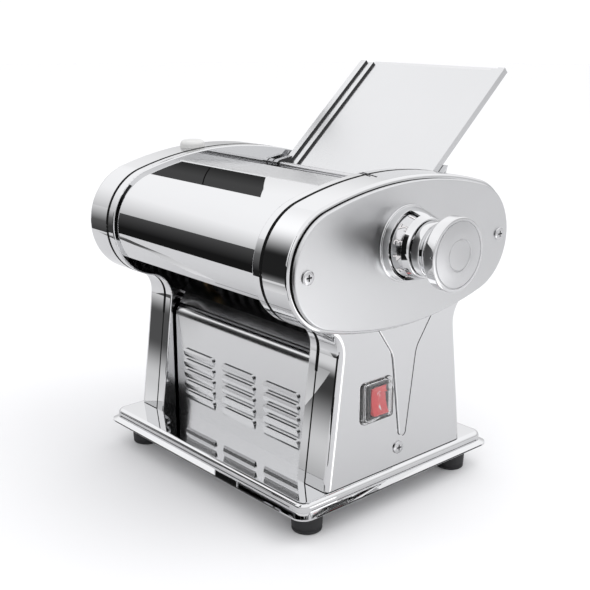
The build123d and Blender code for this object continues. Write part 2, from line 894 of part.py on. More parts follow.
def adjuster_cam():
    """Cam disc and shaft in one piece; the number drum and the knob sit on the shaft."""
    x = cam_x()
    cam = rod(x, x + cam_thick, dial_y, dial_z, cam_radius)
    cam -= slab(Pos(dial_y, dial_z) * cam_groove(), x, x + cam_groove_depth)
    shaft_end = knob_head_x + knob_head_length * 0.25
    return cam + rod(x + cam_thick, shaft_end, dial_y, dial_z, adjuster_shaft_radius)


def bush_outer():
    return adjuster_shaft_radius + adjuster_bush_wall


def adjuster_bush():
    """Bush in the housing and cap that the adjuster shaft turns in."""
    x0 = head_x - shell_wall - 3
    x1 = cap_face_x
    bore = adjuster_shaft_radius + running_clearance
    ring = rod(x0, x1, dial_y, dial_z, bush_outer())
    ring += rod(x0, head_x - shell_wall, dial_y, dial_z, bush_outer() + 2.5)
    return ring - rod(x0 - 1, x1 + 1, dial_y, dial_z, bore)


def collar_radius(x):
    """Outside radius of the collar's bowl at a distance from the cap."""
    share = (x - collar_flange_thick) / (collar_length - collar_flange_thick)
    return collar_back_radius - (collar_back_radius - collar_front_radius) * share**1.6


def dial_collar():
    """Bowl-shaped collar fixed to the cap, with a curved window over the numbers."""
    stations = [collar_flange_thick + i * (collar_length - collar_flange_thick) / 5 for i in range(6)]
    outer = [(0, collar_flange_radius - 0.4), (0.4, collar_flange_radius)]
    outer += [(collar_flange_thick - 0.4, collar_flange_radius)]
    outer += [(collar_flange_thick, collar_flange_radius - 0.4)]
    outer += [(x, collar_radius(x)) for x in stations]
    inner = [(x, collar_radius(x) - collar_wall) for x in reversed(stations)]
    inner += [(0, collar_back_radius - collar_wall)]
    ring = turned([(collar_x + x, r) for x, r in outer + inner], dial_y, dial_z)
    return ring - window_cutter()


def window_cutter():
    """Wedge that opens the window in the collar."""
    far = collar_flange_radius + 8
    start, sweep = window_start, window_sweep
    points = [polar(start + sweep * i / 6, far * 1.2) for i in range(7)]
    near = [polar(start + sweep * i / 6, collar_front_radius / 2) for i in reversed(range(7))]
    wedge = make_face(Polyline(*(points + near), close=True))
    x = collar_x + window_from
    return slab(Pos(dial_y, dial_z) * wedge, x, x + window_width)


def number_drum():
    """Ring that carries the numbers behind the window, fixed to the adjuster shaft."""
    back = collar_wall + drum_clearance
    front = collar_length - 2.0
    start = drum_x - collar_x
    stations = [start + i * (front - start) / 4 for i in range(5)]
    outer = [(x, collar_radius(x) - back) for x in stations]
    web = (start + front) / 2
    inner = [
        (front, collar_radius(front) - back - 2),
        (web + 1.5, collar_radius(web) - back - 2),
        (web + 1.5, adjuster_shaft_radius + 3),
        (front, adjuster_shaft_radius + 3),
        (front, adjuster_shaft_radius),
        (web - 1.5, adjuster_shaft_radius),
        (web - 1.5, collar_radius(web) - back - 2),
        (start, collar_radius(start) - back - 2),
    ]
    return turned([(collar_x + x, r) for x, r in outer + inner], dial_y, dial_z)


def thickness_knob():
    """Pull-and-turn knob: barrel, waist and a wide flat head."""
    bore = adjuster_shaft_radius + running_clearance
    waist_a = knob_x + knob_barrel_length
    waist_b = waist_a + knob_waist_length * 0.45
    points = [
        (knob_x, bore),
        (knob_x, knob_barrel_radius - 1.2),
        (knob_x + 0.5, knob_barrel_radius - 0.3),
        (knob_x + 1.4, knob_barrel_radius),
        (waist_a - 1.0, knob_barrel_radius - 0.4),
        (waist_a, knob_barrel_radius - 1.2),
        (waist_a + 1.2, knob_waist_radius + 0.5),
        (waist_b, knob_waist_radius),
        (knob_head_x - 1.6, knob_waist_radius + 1.6),
        (knob_head_x - 0.5, knob_waist_radius + 4.0),
        (knob_head_x, knob_head_radius - 2.4),
        (knob_head_x + 1.0, knob_head_radius - 1.0),
        (knob_head_x + knob_head_length * 0.5, knob_head_radius),
        (knob_face_x - 2.4, knob_head_radius),
        (knob_face_x - 1.2, knob_head_radius - 0.5),
        (knob_face_x - 0.5, knob_head_radius - 1.4),
        (knob_face_x, knob_head_radius - 3.0),
        (knob_face_x + knob_dome, knob_face_ring_radius + 0.6),
        (knob_face_x + knob_dome - 0.5, knob_face_ring_radius),
        (knob_face_x + knob_dome - 0.5, 0),
        (knob_head_x + knob_head_length * 0.6, 0),
        (knob_head_x + knob_head_length * 0.6, bore),
    ]
    return turned(points, dial_y, dial_z)


# ---------------------------------------------------------------- switch
def switch_opening():
    """Half sizes of the opening that the rocker works in."""
    return rocker_width / 2 + 0.4, rocker_height / 2 + 0.7


def switch_housing():
    """Black switch body with its bezel."""
    bezel = slab(
        Pos(switch_y, switch_z) * RectangleRounded(bezel_width, bezel_height, 1.5),
        pedestal_x,
        pedestal_x + bezel_thick,
    )
    bezel = fillet(bezel.faces().sort_by(Axis.X)[-1].edges(), 0.7)
    body = slab(
        Pos(switch_y, switch_z)
        * Rectangle(bezel_width - 2 * switch_body_margin, bezel_height - 2 * switch_body_margin),
        pedestal_x - switch_body_depth,
        pedestal_x,
    )
    half_w, half_h = switch_opening()
    well = slab(
        Pos(switch_y, switch_z) * Rectangle(2 * half_w, 2 * half_h),
        pedestal_x - 8,
        pedestal_x + bezel_thick,
    )
    pivot = Pos(pedestal_x - 1.5, switch_y, switch_z) * Rot(90, 0, 0) * Cylinder(
        rocker_pin_radius + running_clearance, 2 * half_w + 1.6
    )
    return bezel + body - well - pivot


def power_rocker():
    """Rocker with its two pivot pins, resting in the off position."""
    half = rocker_height / 2
    pivot_x = pedestal_x - 1.5
    crown = bezel_thick + 1.5
    profile = make_face(
        Polyline(
            (-4.0, -half * 0.45),
            (crown - 0.2, -half),
            (crown + rocker_rise, -half),
            (crown + 0.6, -half * 0.25),
            (crown + 0.6, half * 0.25),
            (crown + rocker_rise, half),
            (crown - 0.2, half),
            (-4.0, half * 0.45),
            close=True,
        )
    )
    upright = Plane(origin=(0, 0, 0), x_dir=(1, 0, 0), z_dir=(0, -1, 0))
    body = extrude(upright * profile, rocker_width / 2, both=True)
    pins = Rot(90, 0, 0) * Cylinder(rocker_pin_radius, rocker_width + 1.9)
    tilted = Rot(0, -rocker_swing / 2, 0) * (body + pins)
    return Pos(pivot_x, switch_y, switch_z) * tilted


def boot_hood(grow):
    """Hood of the boot: straight round the bezel, then tapering to its flat top."""
    width = bezel_width + 2 * (boot_fit + grow)
    height = bezel_height + 2 * (boot_fit + grow)
    shoulder = pedestal_x + bezel_thick + boot_fit + grow
    top = pedestal_x + boot_height - boot_wall + grow
    centre = Pos(switch_y, switch_z)
    low = centre * RectangleRounded(width, height, 2)
    high = centre * RectangleRounded(
        boot_top_width - 2 * (boot_wall - grow), boot_top_height - 2 * (boot_wall - grow), 1.8
    )
    hood = slab(low, pedestal_x, shoulder)
    return hood + loft([Plane.YZ.offset(shoulder) * low, Plane.YZ.offset(top) * high], ruled=True)


def switch_boot():
    """Clear soft cover over the rocker: a brim on the housing and a hood round the bezel."""
    brim = Pos(switch_y, switch_z) * RectangleRounded(boot_brim_width, boot_brim_height, 4)
    cover = slab(brim, pedestal_x, pedestal_x + boot_brim_thick) + boot_hood(boot_wall)
    return cover - boot_hood(0)


# ---------------------------------------------------------------- sheet metal
def head_arc(side, radius, start, end, steps):
    """Points on the nose arc, front (side -1) or back (side +1); angles from the horizontal."""
    centre = side * (head_half_length - head_end_radius)
    places = []
    for step in range(steps + 1):
        angle = radians(start + (end - start) * step / steps)
        places.append((centre + side * radius * cos(angle), head_z + radius * sin(angle)))
    return places


def long_arc_z(y, inset):
    """Height of the oval's upper long arc, inset from the rim."""
    end = head_end_radius
    centre = head_half_length - end
    long = (centre**2 + head_half_height**2 - end**2) / (2 * (head_half_height - end))
    radius = long + rim_grow - inset
    return head_z + head_half_height - long + sqrt(radius**2 - y**2)


def crown_angle():
    """Angle on the nose arc where the long arc takes over."""
    end = head_end_radius
    centre = head_half_length - end
    long = (centre**2 + head_half_height**2 - end**2) / (2 * (head_half_height - end))
    return degrees(atan2(long - head_half_height, centre))


def nose_sheet(side, bottom_angle, top_y, tail):
    """Closed band that follows the oval from the bottom edge over the nose to top_y."""
    outer = head_end_radius + rim_grow - cover_inset
    centre = (side * (head_half_length - head_end_radius), head_z)
    start = (centre[0] + side * outer * cos(radians(bottom_angle)),
             head_z - outer * sin(radians(bottom_angle)))
    front = (centre[0] + side * outer, head_z)
    reach = radians(crown_angle())
    turn = (centre[0] + side * outer * cos(reach), head_z + outer * sin(reach))
    top = (top_y, long_arc_z(top_y, cover_inset))
    middle_y = (turn[0] + top_y) / 2
    middle = (middle_y, long_arc_z(middle_y, cover_inset))
    wires = ThreePointArc(start, front, turn) + ThreePointArc(turn, middle, top)
    if tail:
        wires = Line(tail, start) + wires
    return wires


def band_along(wire, thick, side):
    """Face of a sheet laid along a (y, z) wire."""
    return make_face(offset(wire, amount=thick, side=side, closed=True))


def front_cover():
    """Mirror-polished cover over the nose, hemmed inwards at its lower edge."""
    outer = head_end_radius + rim_grow - cover_inset
    low = radians(cover_bottom_angle)
    centre_y = -(head_half_length - head_end_radius)
    start = (centre_y - outer * cos(low), head_z - outer * sin(low))
    hem = (start[0] + cover_hem, start[1] + cover_hem * 0.35)
    wire = nose_sheet(-1, cover_bottom_angle, top_rim_y, hem)
    return slab(band_along(wire, sheet, Side.RIGHT), -frame_inner_x, frame_inner_x)


def top_plate():
    """Plate behind the rolled rim, with a lip turned down in front of the roller nip."""
    rim_z = long_arc_z(top_rim_y, cover_inset)
    rim_centre = (top_rim_y + top_rim_radius, rim_z - top_rim_radius + 0.6)
    back = (top_plate_back_y, top_plate_back_z)
    lip = (top_plate_back_y - 2.5, top_plate_back_z - top_plate_lip)
    wire = FilletPolyline(
        (rim_centre[0], rim_centre[1] + top_rim_radius), back, lip, radius=2.5
    )
    plate = band_along(wire, sheet, Side.RIGHT)
    plate += Pos(*rim_centre) * Circle(top_rim_radius)
    under = nose_sheet(-1, cover_bottom_angle, top_rim_y, None)
    solid = slab(plate, -frame_inner_x, frame_inner_x)
    return solid - slab(
        band_along(under, sheet, Side.RIGHT), -frame_inner_x - 1, frame_inner_x + 1
    )


def tray_point(along, off):
    """Point in the tray's own directions: along its slope and off its upper face."""
    lean = radians(tray_angle)
    return (
        tray_rod_y + along * cos(lean) - off * sin(lean),
        tray_rod_z + along * sin(lean) + off * cos(lean),
    )


def rear_cover():
    """Cover over the back nose, with an apron that the feed tray leans on."""
    outer = head_end_radius + rim_grow - cover_inset
    low = radians(rear_cover_bottom_angle)
    centre_y = head_half_length - head_end_radius
    start = (centre_y + outer * cos(low), head_z - outer * sin(low))
    front = (centre_y + outer, head_z)
    reach = radians(crown_angle())
    turn = (centre_y + outer * cos(reach), head_z + outer * sin(reach))
    under = -tray_drop - sheet - apron_gap
    apron_top = tray_point(apron_end, under)
    apron_low = tray_point(apron_start, under)
    wire = Polyline(apron_low, apron_top, turn) + ThreePointArc(turn, front, start)
    return slab(band_along(wire, sheet, Side.RIGHT), -frame_inner_x, frame_inner_x)


def chute_points():
    """Lip, knee, upper end and back rise of the chute."""
    dy, dz = polar(chute_lip_slope, chute_lip_length)
    knee = (chute_lip_y + dy, chute_lip_z + dz)
    dy, dz = polar(chute_slope, chute_length)
    top = (knee[0] + dy, knee[1] + dz)
    return (chute_lip_y, chute_lip_z), knee, top, (top[0], top[1] + chute_back_rise)


def chute_plate():
    """Sloped plate that brings the noodles out over a steeper, narrower front lip."""
    lip, knee, top, rise = chute_points()
    fold = (lip[0] + chute_fold, lip[1])
    wire = Polyline(fold, lip, knee, top, rise)
    plate = slab(band_along(wire, sheet, Side.RIGHT), -frame_inner_x, frame_inner_x)
    for side in (-1, 1):
        plate -= block(
            side * (frame_inner_x - chute_lip_gap), side * (frame_inner_x + 1),
            lip[0] - 2 * sheet, knee[0], lip[1] - 2 * sheet, knee[1] + 2 * sheet,
        )
    return plate


def louvre_places():
    """Centre x and top z of each louvre."""
    for column in range(louvre_columns):
        for row in range(louvre_rows):
            x = (column - (louvre_columns - 1) / 2) * louvre_pitch_x
            yield x, louvre_top_z - row * louvre_pitch_z


def louvre_hood():
    """Pressed scale: full depth at its top lip, fading into the sheet below."""
    outline = RectangleRounded(louvre_width, louvre_height * 2, louvre_corner)
    hood = extrude(Plane.XZ * outline, louvre_depth)
    keep = make_face(
        Polyline((0, 0), (-louvre_depth, 0), (-louvre_depth * 0.86, -louvre_height * 0.35),
                 (-louvre_depth * 0.5, -louvre_height * 0.72), (0, -louvre_height), close=True)
    )
    wedge = slab(keep, -louvre_width / 2, louvre_width / 2)
    round_top = Pos(0, 0, -louvre_height) * hood
    return wedge & round_top


def motor_panel():
    """Louvred front of the motor box with a rounded top edge."""
    half = frame_inner_x - panel_side_gap
    wire = FilletPolyline(
        (-panel_y, deck_z), (-panel_y, panel_top_z), (-panel_y + panel_top_flange, panel_top_z),
        radius=panel_bend_radius,
    )
    panel = slab(band_along(wire, sheet, Side.RIGHT), -half, half)
    hood = louvre_hood()
    slot = block(
        -louvre_width / 2 + louvre_corner, louvre_width / 2 - louvre_corner,
        -louvre_depth + louvre_skin, sheet + 1, -2 * louvre_slot, -louvre_slot,
    )
    mouth = block(
        -louvre_width / 2 + louvre_corner, louvre_width / 2 - louvre_corner,
        -louvre_depth + louvre_skin, 0, -2 * louvre_slot, 0.5,
    )
    for x, z in louvre_places():
        panel += Pos(x, -panel_y, z) * hood
        panel -= Pos(x, -panel_y, z) * slot
        panel -= Pos(x, -panel_y, z) * mouth
    return panel


def rear_panel():
    """Back of the motor box, flared out at the top to meet the rear cover."""
    outer = head_end_radius + rim_grow - cover_inset - sheet
    low = radians(rear_cover_bottom_angle)
    centre_y = head_half_length - head_end_radius
    meet = (centre_y + outer * cos(low) - 1.5, head_z - outer * sin(low) - 1.0)
    wire = FilletPolyline((panel_y, deck_z), (panel_y, meet[1] - 24), meet, radius=8)
    panel = slab(band_along(wire, sheet, Side.LEFT), -frame_inner_x, frame_inner_x)
    slot = Plane(origin=(0, panel_y, 0), x_dir=(1, 0, 0), z_dir=(0, 1, 0))
    slot = slot * SlotOverall(rear_slot_width, rear_slot_height)
    for column in (-1, 0, 1):
        for row in range(rear_slot_rows):
            place = Pos(column * rear_slot_pitch_x, 0, rear_slot_bottom_z + row * rear_slot_pitch_z)
            panel -= extrude(place * slot, 2 * sheet, both=True)
    return panel - block(
        inlet_x - inlet_width / 2, inlet_x + inlet_width / 2, panel_y - 3, panel_y + 3,
        inlet_z - inlet_height / 2, inlet_z + inlet_height / 2,
    )


# ---------------------------------------------------------------- inlet
def power_inlet():
    """Three-pin appliance inlet in the rear panel."""
    face = panel_y
    flange = block(
        inlet_x - inlet_flange_width / 2, inlet_x + inlet_flange_width / 2,
        face, face + inlet_flange_thick,
        inlet_z - inlet_flange_height / 2, inlet_z + inlet_flange_height / 2,
    )
    flange = fillet(flange.edges().filter_by(Axis.Y), 2.5)
    shroud = block(
        inlet_x - inlet_width / 2, inlet_x + inlet_width / 2, face - inlet_depth, face,
        inlet_z - inlet_height / 2, inlet_z + inlet_height / 2,
    )
    well = block(
        inlet_x - inlet_width / 2 + inlet_wall, inlet_x + inlet_width / 2 - inlet_wall,
        face - inlet_depth + inlet_wall, face + inlet_flange_thick,
        inlet_z - inlet_height / 2 + inlet_wall, inlet_z + inlet_height / 2 - inlet_wall,
    )
    well = chamfer(well.edges().filter_by(Axis.Y).group_by(Axis.Z)[-1], 4.5)
    return flange + shroud - well


def inlet_pins():
    """Live, earth and neutral blades."""
    floor = panel_y - inlet_depth + inlet_wall
    pins = []
    for x, z in ((-inlet_pin_pitch, -2.0), (0, 2.0), (inlet_pin_pitch, -2.0)):
        pins.append(
            block(
                inlet_x + x - 1, inlet_x + x + 1, floor, panel_y - 2,
                inlet_z + z - 2, inlet_z + z + 2,
            )
        )
    return Compound(children=pins)


# ---------------------------------------------------------------- feed tray
def across_tray(sketch, start, end):
    """Push a section drawn square to the tray along its slope."""
    lean = radians(tray_angle)
    down = Plane(
        origin=(0, tray_rod_y, tray_rod_z),
        x_dir=(1, 0, 0),
        z_dir=(0, -cos(lean), -sin(lean)),
    )
    return extrude(down.offset(-end) * sketch, end - start)


def tray_section():
    """Sheet with a stepped rail folded up along each side."""
    half = tray_width / 2
    floor = -tray_drop
    ledge = floor + tray_rail_step
    top = floor + tray_rail_height
    inner = half - tray_rail_width
    middle = half - tray_rail_top
    right = Polyline(
        (0, floor), (inner, floor), (inner, ledge), (middle, ledge), (middle, top),
        (half, top), (half, floor - sheet), (half - sheet, floor - sheet),
        (half - sheet, top - sheet), (middle + sheet, top - sheet),
        (middle + sheet, ledge - sheet), (inner + sheet, ledge - sheet),
        (inner + sheet, floor - sheet), (0, floor - sheet), close=True,
    )
    face = make_face(right)
    return face + mirror(face, Plane.YZ)


def tray_knuckle(end):
    """Ear that rises from the rail and wraps the rod."""
    outer = tray_rod_radius + knuckle_wall
    under = -tray_drop + tray_rail_height
    x0 = end * (tray_width / 2 - knuckle_length)
    x1 = end * tray_width / 2
    foot = make_face(
        Polyline(
            tray_point(tray_foot, under), tray_point(knuckle_foot, under),
            tray_point(knuckle_foot, under - 0.8), tray_point(tray_foot, under - 0.8), close=True,
        )
    )
    ring = Pos(tray_rod_y, tray_rod_z) * Circle(outer)
    ear = make_hull(foot.edges() + ring.edges()) - Pos(tray_rod_y, tray_rod_z) * Circle(
        tray_rod_radius + running_clearance
    )
    return slab(ear, x0, x1)


def tray_lip_strip():
    """Bent-back strip along the tray's top edge, with rounded ends."""
    half = tray_width / 2
    width = 2 * half - tray_rail_width - 1
    strip_face = RectangleRounded(width, 2 * tray_lip, tray_lip_corner) & Pos(
        0, tray_lip / 2 + 0.5
    ) * Rectangle(width, tray_lip + 1)
    plate = extrude(strip_face, -sheet)
    y, z = tray_point(tray_end, -tray_drop)
    return Pos(0, y, z) * Rot(tray_angle - tray_lip_bend, 0, 0) * plate


def feed_tray():
    """Feed tray: floor with stepped rails, bent lip and the ears it swings on."""
    body = across_tray(tray_section(), tray_foot, tray_end)
    body += tray_lip_strip()
    return body + tray_knuckle(-1) + tray_knuckle(1)


def tray_rod():
    """Rod across the frames that carries the feed tray."""
    bar = rod(-frame_inner_x, frame_inner_x, tray_rod_y, tray_rod_z, tray_rod_radius)
    for end in (-1, 1):
        bar += rod(
            end * frame_inner_x, end * (frame_inner_x - 2.5),
            tray_rod_y, tray_rod_z, tray_rod_radius + 1.4,
        )
    return bar


# ---------------------------------------------------------------- guides and scrapers
def sheet_guide():
    """Curved guide that turns the dough sheet under the front roller towards the cutters."""
    inner = roller_radius + guide_gap
    outer = inner + sheet
    clear = roller_radius + guide_clearance
    start = -degrees(
        acos((roller_spacing**2 + outer**2 - clear**2) / (2 * roller_spacing * outer))
    )
    end = -98.0
    centre = (front_roller_y, roller_z)
    points = []
    for angle in (start, (start + end) / 2, end):
        dy, dz = polar(angle, inner)
        points.append((centre[0] + dy, centre[1] + dz))
    flat = (points[2][0] - guide_flat, points[2][1])
    wire = ThreePointArc(*points) + Line(points[2], flat)
    return slab(band_along(wire, sheet, Side.LEFT), -frame_inner_x, frame_inner_x)


def rear_scraper():
    """Blade under the rear roller, fixed between the frames."""
    dy, dz = polar(-70, roller_radius + scraper_clearance)
    edge = (rear_roller_y + dy, roller_z + dz)
    heel = (edge[0] + scraper_reach, edge[1] - scraper_drop)
    foot = (heel[0] + scraper_foot, heel[1])
    wire = Polyline(edge, heel, foot)
    return slab(band_along(wire, scraper_thick, Side.RIGHT), -frame_inner_x, frame_inner_x)


def front_scraper():
    """Blade that rides with the front roller, held on the carriage bar."""
    bar_y = front_roller_y - carriage_bar_offset
    half = frame_inner_x - bush_flange - 3
    dy, dz = polar(207, roller_radius + scraper_clearance)
    edge = (front_roller_y + dy, roller_z + dz)
    heel = (bar_y, roller_z - carriage_bar_radius - 0.8)
    blade = slab(band_along(Polyline(edge, heel), scraper_thick, Side.LEFT), -half, half)
    clip = rod(-half, half, bar_y, roller_z, carriage_bar_radius + 1.6)
    clip -= rod(-half, half, bar_y, roller_z, carriage_bar_radius)
    return blade - rod(-half, half, bar_y, roller_z, carriage_bar_radius) + clip


# ---------------------------------------------------------------- motor
def motor():
    """Motor can with its end bells and cooling ribs."""
    x0 = -frame_inner_x + gearbox_depth
    can = rod(x0, x0 + motor_length, motor_y, motor_z, motor_radius)
    can = fillet(can.faces().sort_by(Axis.X)[-1].edges(), 5)
    for band in (0.04, 0.9):
        x = x0 + motor_length * band
        can += rod(x, x + 4, motor_y, motor_z, motor_radius + 1.5)
    x1 = x0 + motor_length
    return can + rod(x1, x1 + 5, motor_y, motor_z, 11)


def gearbox():
    """Cast gearbox between the motor and the left frame, bored for the output shaft."""
    out_y, out_z = pinion_place()
    big = Pos(motor_y, motor_z) * Circle(gearbox_motor_radius)
    small = Pos(out_y, out_z) * Circle(gearbox_output_radius)
    web = make_hull(big.edges() + small.edges())
    box = slab(web, -frame_inner_x, -frame_inner_x + gearbox_depth)
    box = fillet(box.faces().sort_by(Axis.X)[-1].edges(), 3)
    bore = pinion_bearing_radius + running_clearance
    return box - rod(
        -frame_inner_x - 1, -frame_inner_x + gearbox_depth * 0.7, out_y, out_z, bore
    )


def motor_saddle():
    """Two saddles that stand on the deck and carry the motor."""
    saddles = []
    middle = -frame_inner_x + gearbox_depth + motor_length / 2
    for side in (-1, 1):
        x = middle + side * saddle_spacing / 2
        stand = block(
            x - saddle_width / 2, x + saddle_width / 2,
            motor_y - saddle_half_depth, motor_y + saddle_half_depth,
            deck_z, motor_z - motor_radius * 0.55,
        )
        saddles.append(stand - rod(x - saddle_width, x + saddle_width, motor_y, motor_z, motor_radius))
    return Compound(children=saddles)


def tie_rods():
    """Spacer rods that hold the two frames together."""
    rods = []
    for y, z in tie_rod_places:
        body = rod(-frame_inner_x, frame_inner_x, y, z, tie_rod_radius)
        rods.append(body + rod(-frame_outer_x, frame_outer_x, y, z, tie_rod_radius - 1))
    return Compound(children=rods)


# ---------------------------------------------------------------- export
parts = {
    "base_pan": base_pan,
    "base_bottom_plate": base_bottom_plate,
    "feet": feet,
    "foot_screws": foot_screws,
    "left_side_plate": left_side_plate,
    "right_side_plate": frame_plate,
    "left_gasket": lambda: other_side(gasket()),
    "right_gasket": gasket,
    "left_shell": left_shell,
    "right_shell": right_shell,
    "left_cap_seal": lambda: other_side(cap_seal()),
    "right_cap_seal": cap_seal,
    "left_end_cap": lambda: other_side(end_cap()),
    "right_end_cap": right_end_cap,
    "left_housing_screws": lambda: other_side(housing_screws()),
    "right_housing_screws": housing_screws,
    "oil_plug": oil_plug,
    "front_dough_roller": front_dough_roller,
    "rear_dough_roller": rear_dough_roller,
    "roller_bushes": roller_bushes,
    "upper_cutter": upper_cutter,
    "lower_cutter": lower_cutter,
    "drive_gear": drive_gear,
    "output_pinion": output_pinion,
    "idler_gear": idler_gear,
    "idler_stud": idler_stud,
    "rear_roller_gear": rear_roller_gear,
    "front_roller_gear": front_roller_gear,
    "lower_cutter_gear": lower_cutter_gear,
    "upper_cutter_gear": upper_cutter_gear,
    "left_bearing_block": left_bearing_block,
    "right_bearing_block": right_bearing_block,
    "carriage_bar": carriage_bar,
    "adjuster_cam": adjuster_cam,
    "adjuster_bush": adjuster_bush,
    "dial_collar": dial_collar,
    "number_drum": number_drum,
    "thickness_knob": thickness_knob,
    "switch_housing": switch_housing,
    "power_rocker": power_rocker,
    "switch_boot": switch_boot,
    "front_cover": front_cover,
    "top_plate": top_plate,
    "rear_cover": rear_cover,
    "chute_plate": chute_plate,
    "motor_panel": motor_panel,
    "rear_panel": rear_panel,
    "power_inlet": power_inlet,
    "inlet_pins": inlet_pins,
    "feed_tray": feed_tray,
    "tray_rod": tray_rod,
    "sheet_guide": sheet_guide,
    "rear_scraper": rear_scraper,
    "front_scraper": front_scraper,
    "motor": motor,
    "gearbox": gearbox,
    "motor_saddle": motor_saddle,
    "tie_rods": tie_rods,
}

os.makedirs("parts", exist_ok=True)
for name, make in parts.items():
    export_step(Pos(-origin_x, -origin_y, 0) * make(), f"parts/{name}.step")
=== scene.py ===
"""Electric pasta maker: finishes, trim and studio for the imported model.

Laid out as an add-on and run as a script. The model's frame is in metres: +X is the dial side,
-Y the front, +Z up, and 0 the table. Sizes of trim are in millimetres and go through at().
"""

import json
import math
import bmesh
import bpy
from bpy.props import FloatProperty, FloatVectorProperty, IntProperty, PointerProperty
from mathutils import Matrix, Vector


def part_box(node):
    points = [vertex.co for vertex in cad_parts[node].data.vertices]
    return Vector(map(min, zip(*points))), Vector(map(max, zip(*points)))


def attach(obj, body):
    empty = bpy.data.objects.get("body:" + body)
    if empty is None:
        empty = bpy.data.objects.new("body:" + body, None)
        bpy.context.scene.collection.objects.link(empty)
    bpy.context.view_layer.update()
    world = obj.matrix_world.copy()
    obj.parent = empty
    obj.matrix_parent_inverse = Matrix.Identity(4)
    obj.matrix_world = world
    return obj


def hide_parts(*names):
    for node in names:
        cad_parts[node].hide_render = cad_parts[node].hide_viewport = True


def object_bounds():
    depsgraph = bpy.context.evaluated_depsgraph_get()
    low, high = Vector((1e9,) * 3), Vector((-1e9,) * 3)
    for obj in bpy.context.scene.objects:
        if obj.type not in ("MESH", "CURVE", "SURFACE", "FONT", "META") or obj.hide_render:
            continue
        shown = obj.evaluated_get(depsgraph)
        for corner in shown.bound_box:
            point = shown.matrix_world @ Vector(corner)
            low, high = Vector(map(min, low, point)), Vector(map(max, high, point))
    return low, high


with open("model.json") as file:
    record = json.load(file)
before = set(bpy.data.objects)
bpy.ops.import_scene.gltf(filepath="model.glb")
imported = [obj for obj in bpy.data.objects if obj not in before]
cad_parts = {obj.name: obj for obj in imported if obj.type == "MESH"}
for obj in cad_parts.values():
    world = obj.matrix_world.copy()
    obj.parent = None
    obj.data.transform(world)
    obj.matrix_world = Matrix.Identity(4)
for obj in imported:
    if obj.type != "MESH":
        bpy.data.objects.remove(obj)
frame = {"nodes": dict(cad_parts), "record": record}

CAD_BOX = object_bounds()
MM = 0.001

bl_info = {
    "name": "Pasta Maker Finishes",
    "version": (1, 0, 0),
    "blender": (4, 5, 0),
    "location": "View3D > Sidebar > Pasta Maker",
    "description": "Dresses the electric pasta maker and sets up its studio",
    "category": "Object",
}


# ------------------------------------------------------------------ places in the model
def middle(node):
    """Centre of a node's box."""
    low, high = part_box(node)
    return (low + high) / 2


BASE = middle("base_pan")


def at(x, y, z):
    """Point in millimetres from the middle of the base, on the table."""
    return Vector((BASE.x + x * MM, BASE.y + y * MM, z * MM))


# ------------------------------------------------------------------ node graph helpers
class Graph:
    """Short-hand for building a material's nodes."""

    def __init__(self, tree):
        self.tree = tree

    def node(self, kind, **values):
        made = self.tree.nodes.new(kind)
        for key, value in values.items():
            if hasattr(made, key) and key not in made.inputs:
                setattr(made, key, value)
            else:
                self.feed(made.inputs[key], value)
        return made

    def feed(self, socket, value):
        if isinstance(value, bpy.types.NodeSocket):
            self.tree.links.new(value, socket)
        elif value is not None:
            socket.default_value = value

    def math(self, kind, a, b=None):
        made = self.node("ShaderNodeMath", operation=kind)
        self.feed(made.inputs[0], a)
        if b is not None:
            self.feed(made.inputs[1], b)
        return made.outputs[0]

    def span(self, value, low, high, to_low, to_high):
        made = self.node("ShaderNodeMapRange")
        for socket, number in zip(made.inputs[:5], (value, low, high, to_low, to_high)):
            self.feed(socket, number)
        return made.outputs[0]

    def noise(self, where, scale, detail=2.0, stretch=(1, 1, 1)):
        mapped = self.node("ShaderNodeMapping", Vector=where, Scale=stretch)
        made = self.node("ShaderNodeTexNoise", Vector=mapped.outputs[0], Scale=scale, Detail=detail)
        return made.outputs["Fac"]

    def ramp(self, value, stops, easing="LINEAR"):
        """Greys from (share, grey) stops."""
        made = self.node("ShaderNodeValToRGB")
        made.color_ramp.interpolation = easing
        points = made.color_ramp.elements
        while len(points) < len(stops):
            points.new(0.5)
        while len(points) > len(stops):
            points.remove(points[-1])
        for point, (place, tone) in zip(points, stops):
            point.position = place
            point.color = grey(tone)
        self.feed(made.inputs[0], value)
        return made.outputs[0]

    def mix(self, share, a, b):
        made = self.node("ShaderNodeMix", data_type="RGBA")
        for socket, value in ((made.inputs[0], share), (made.inputs[6], a), (made.inputs[7], b)):
            self.feed(socket, value)
        return made.outputs[2]


def grey(value):
    """Grey a touch on the cool side."""
    return (value, value, value * 1.01, 1.0)


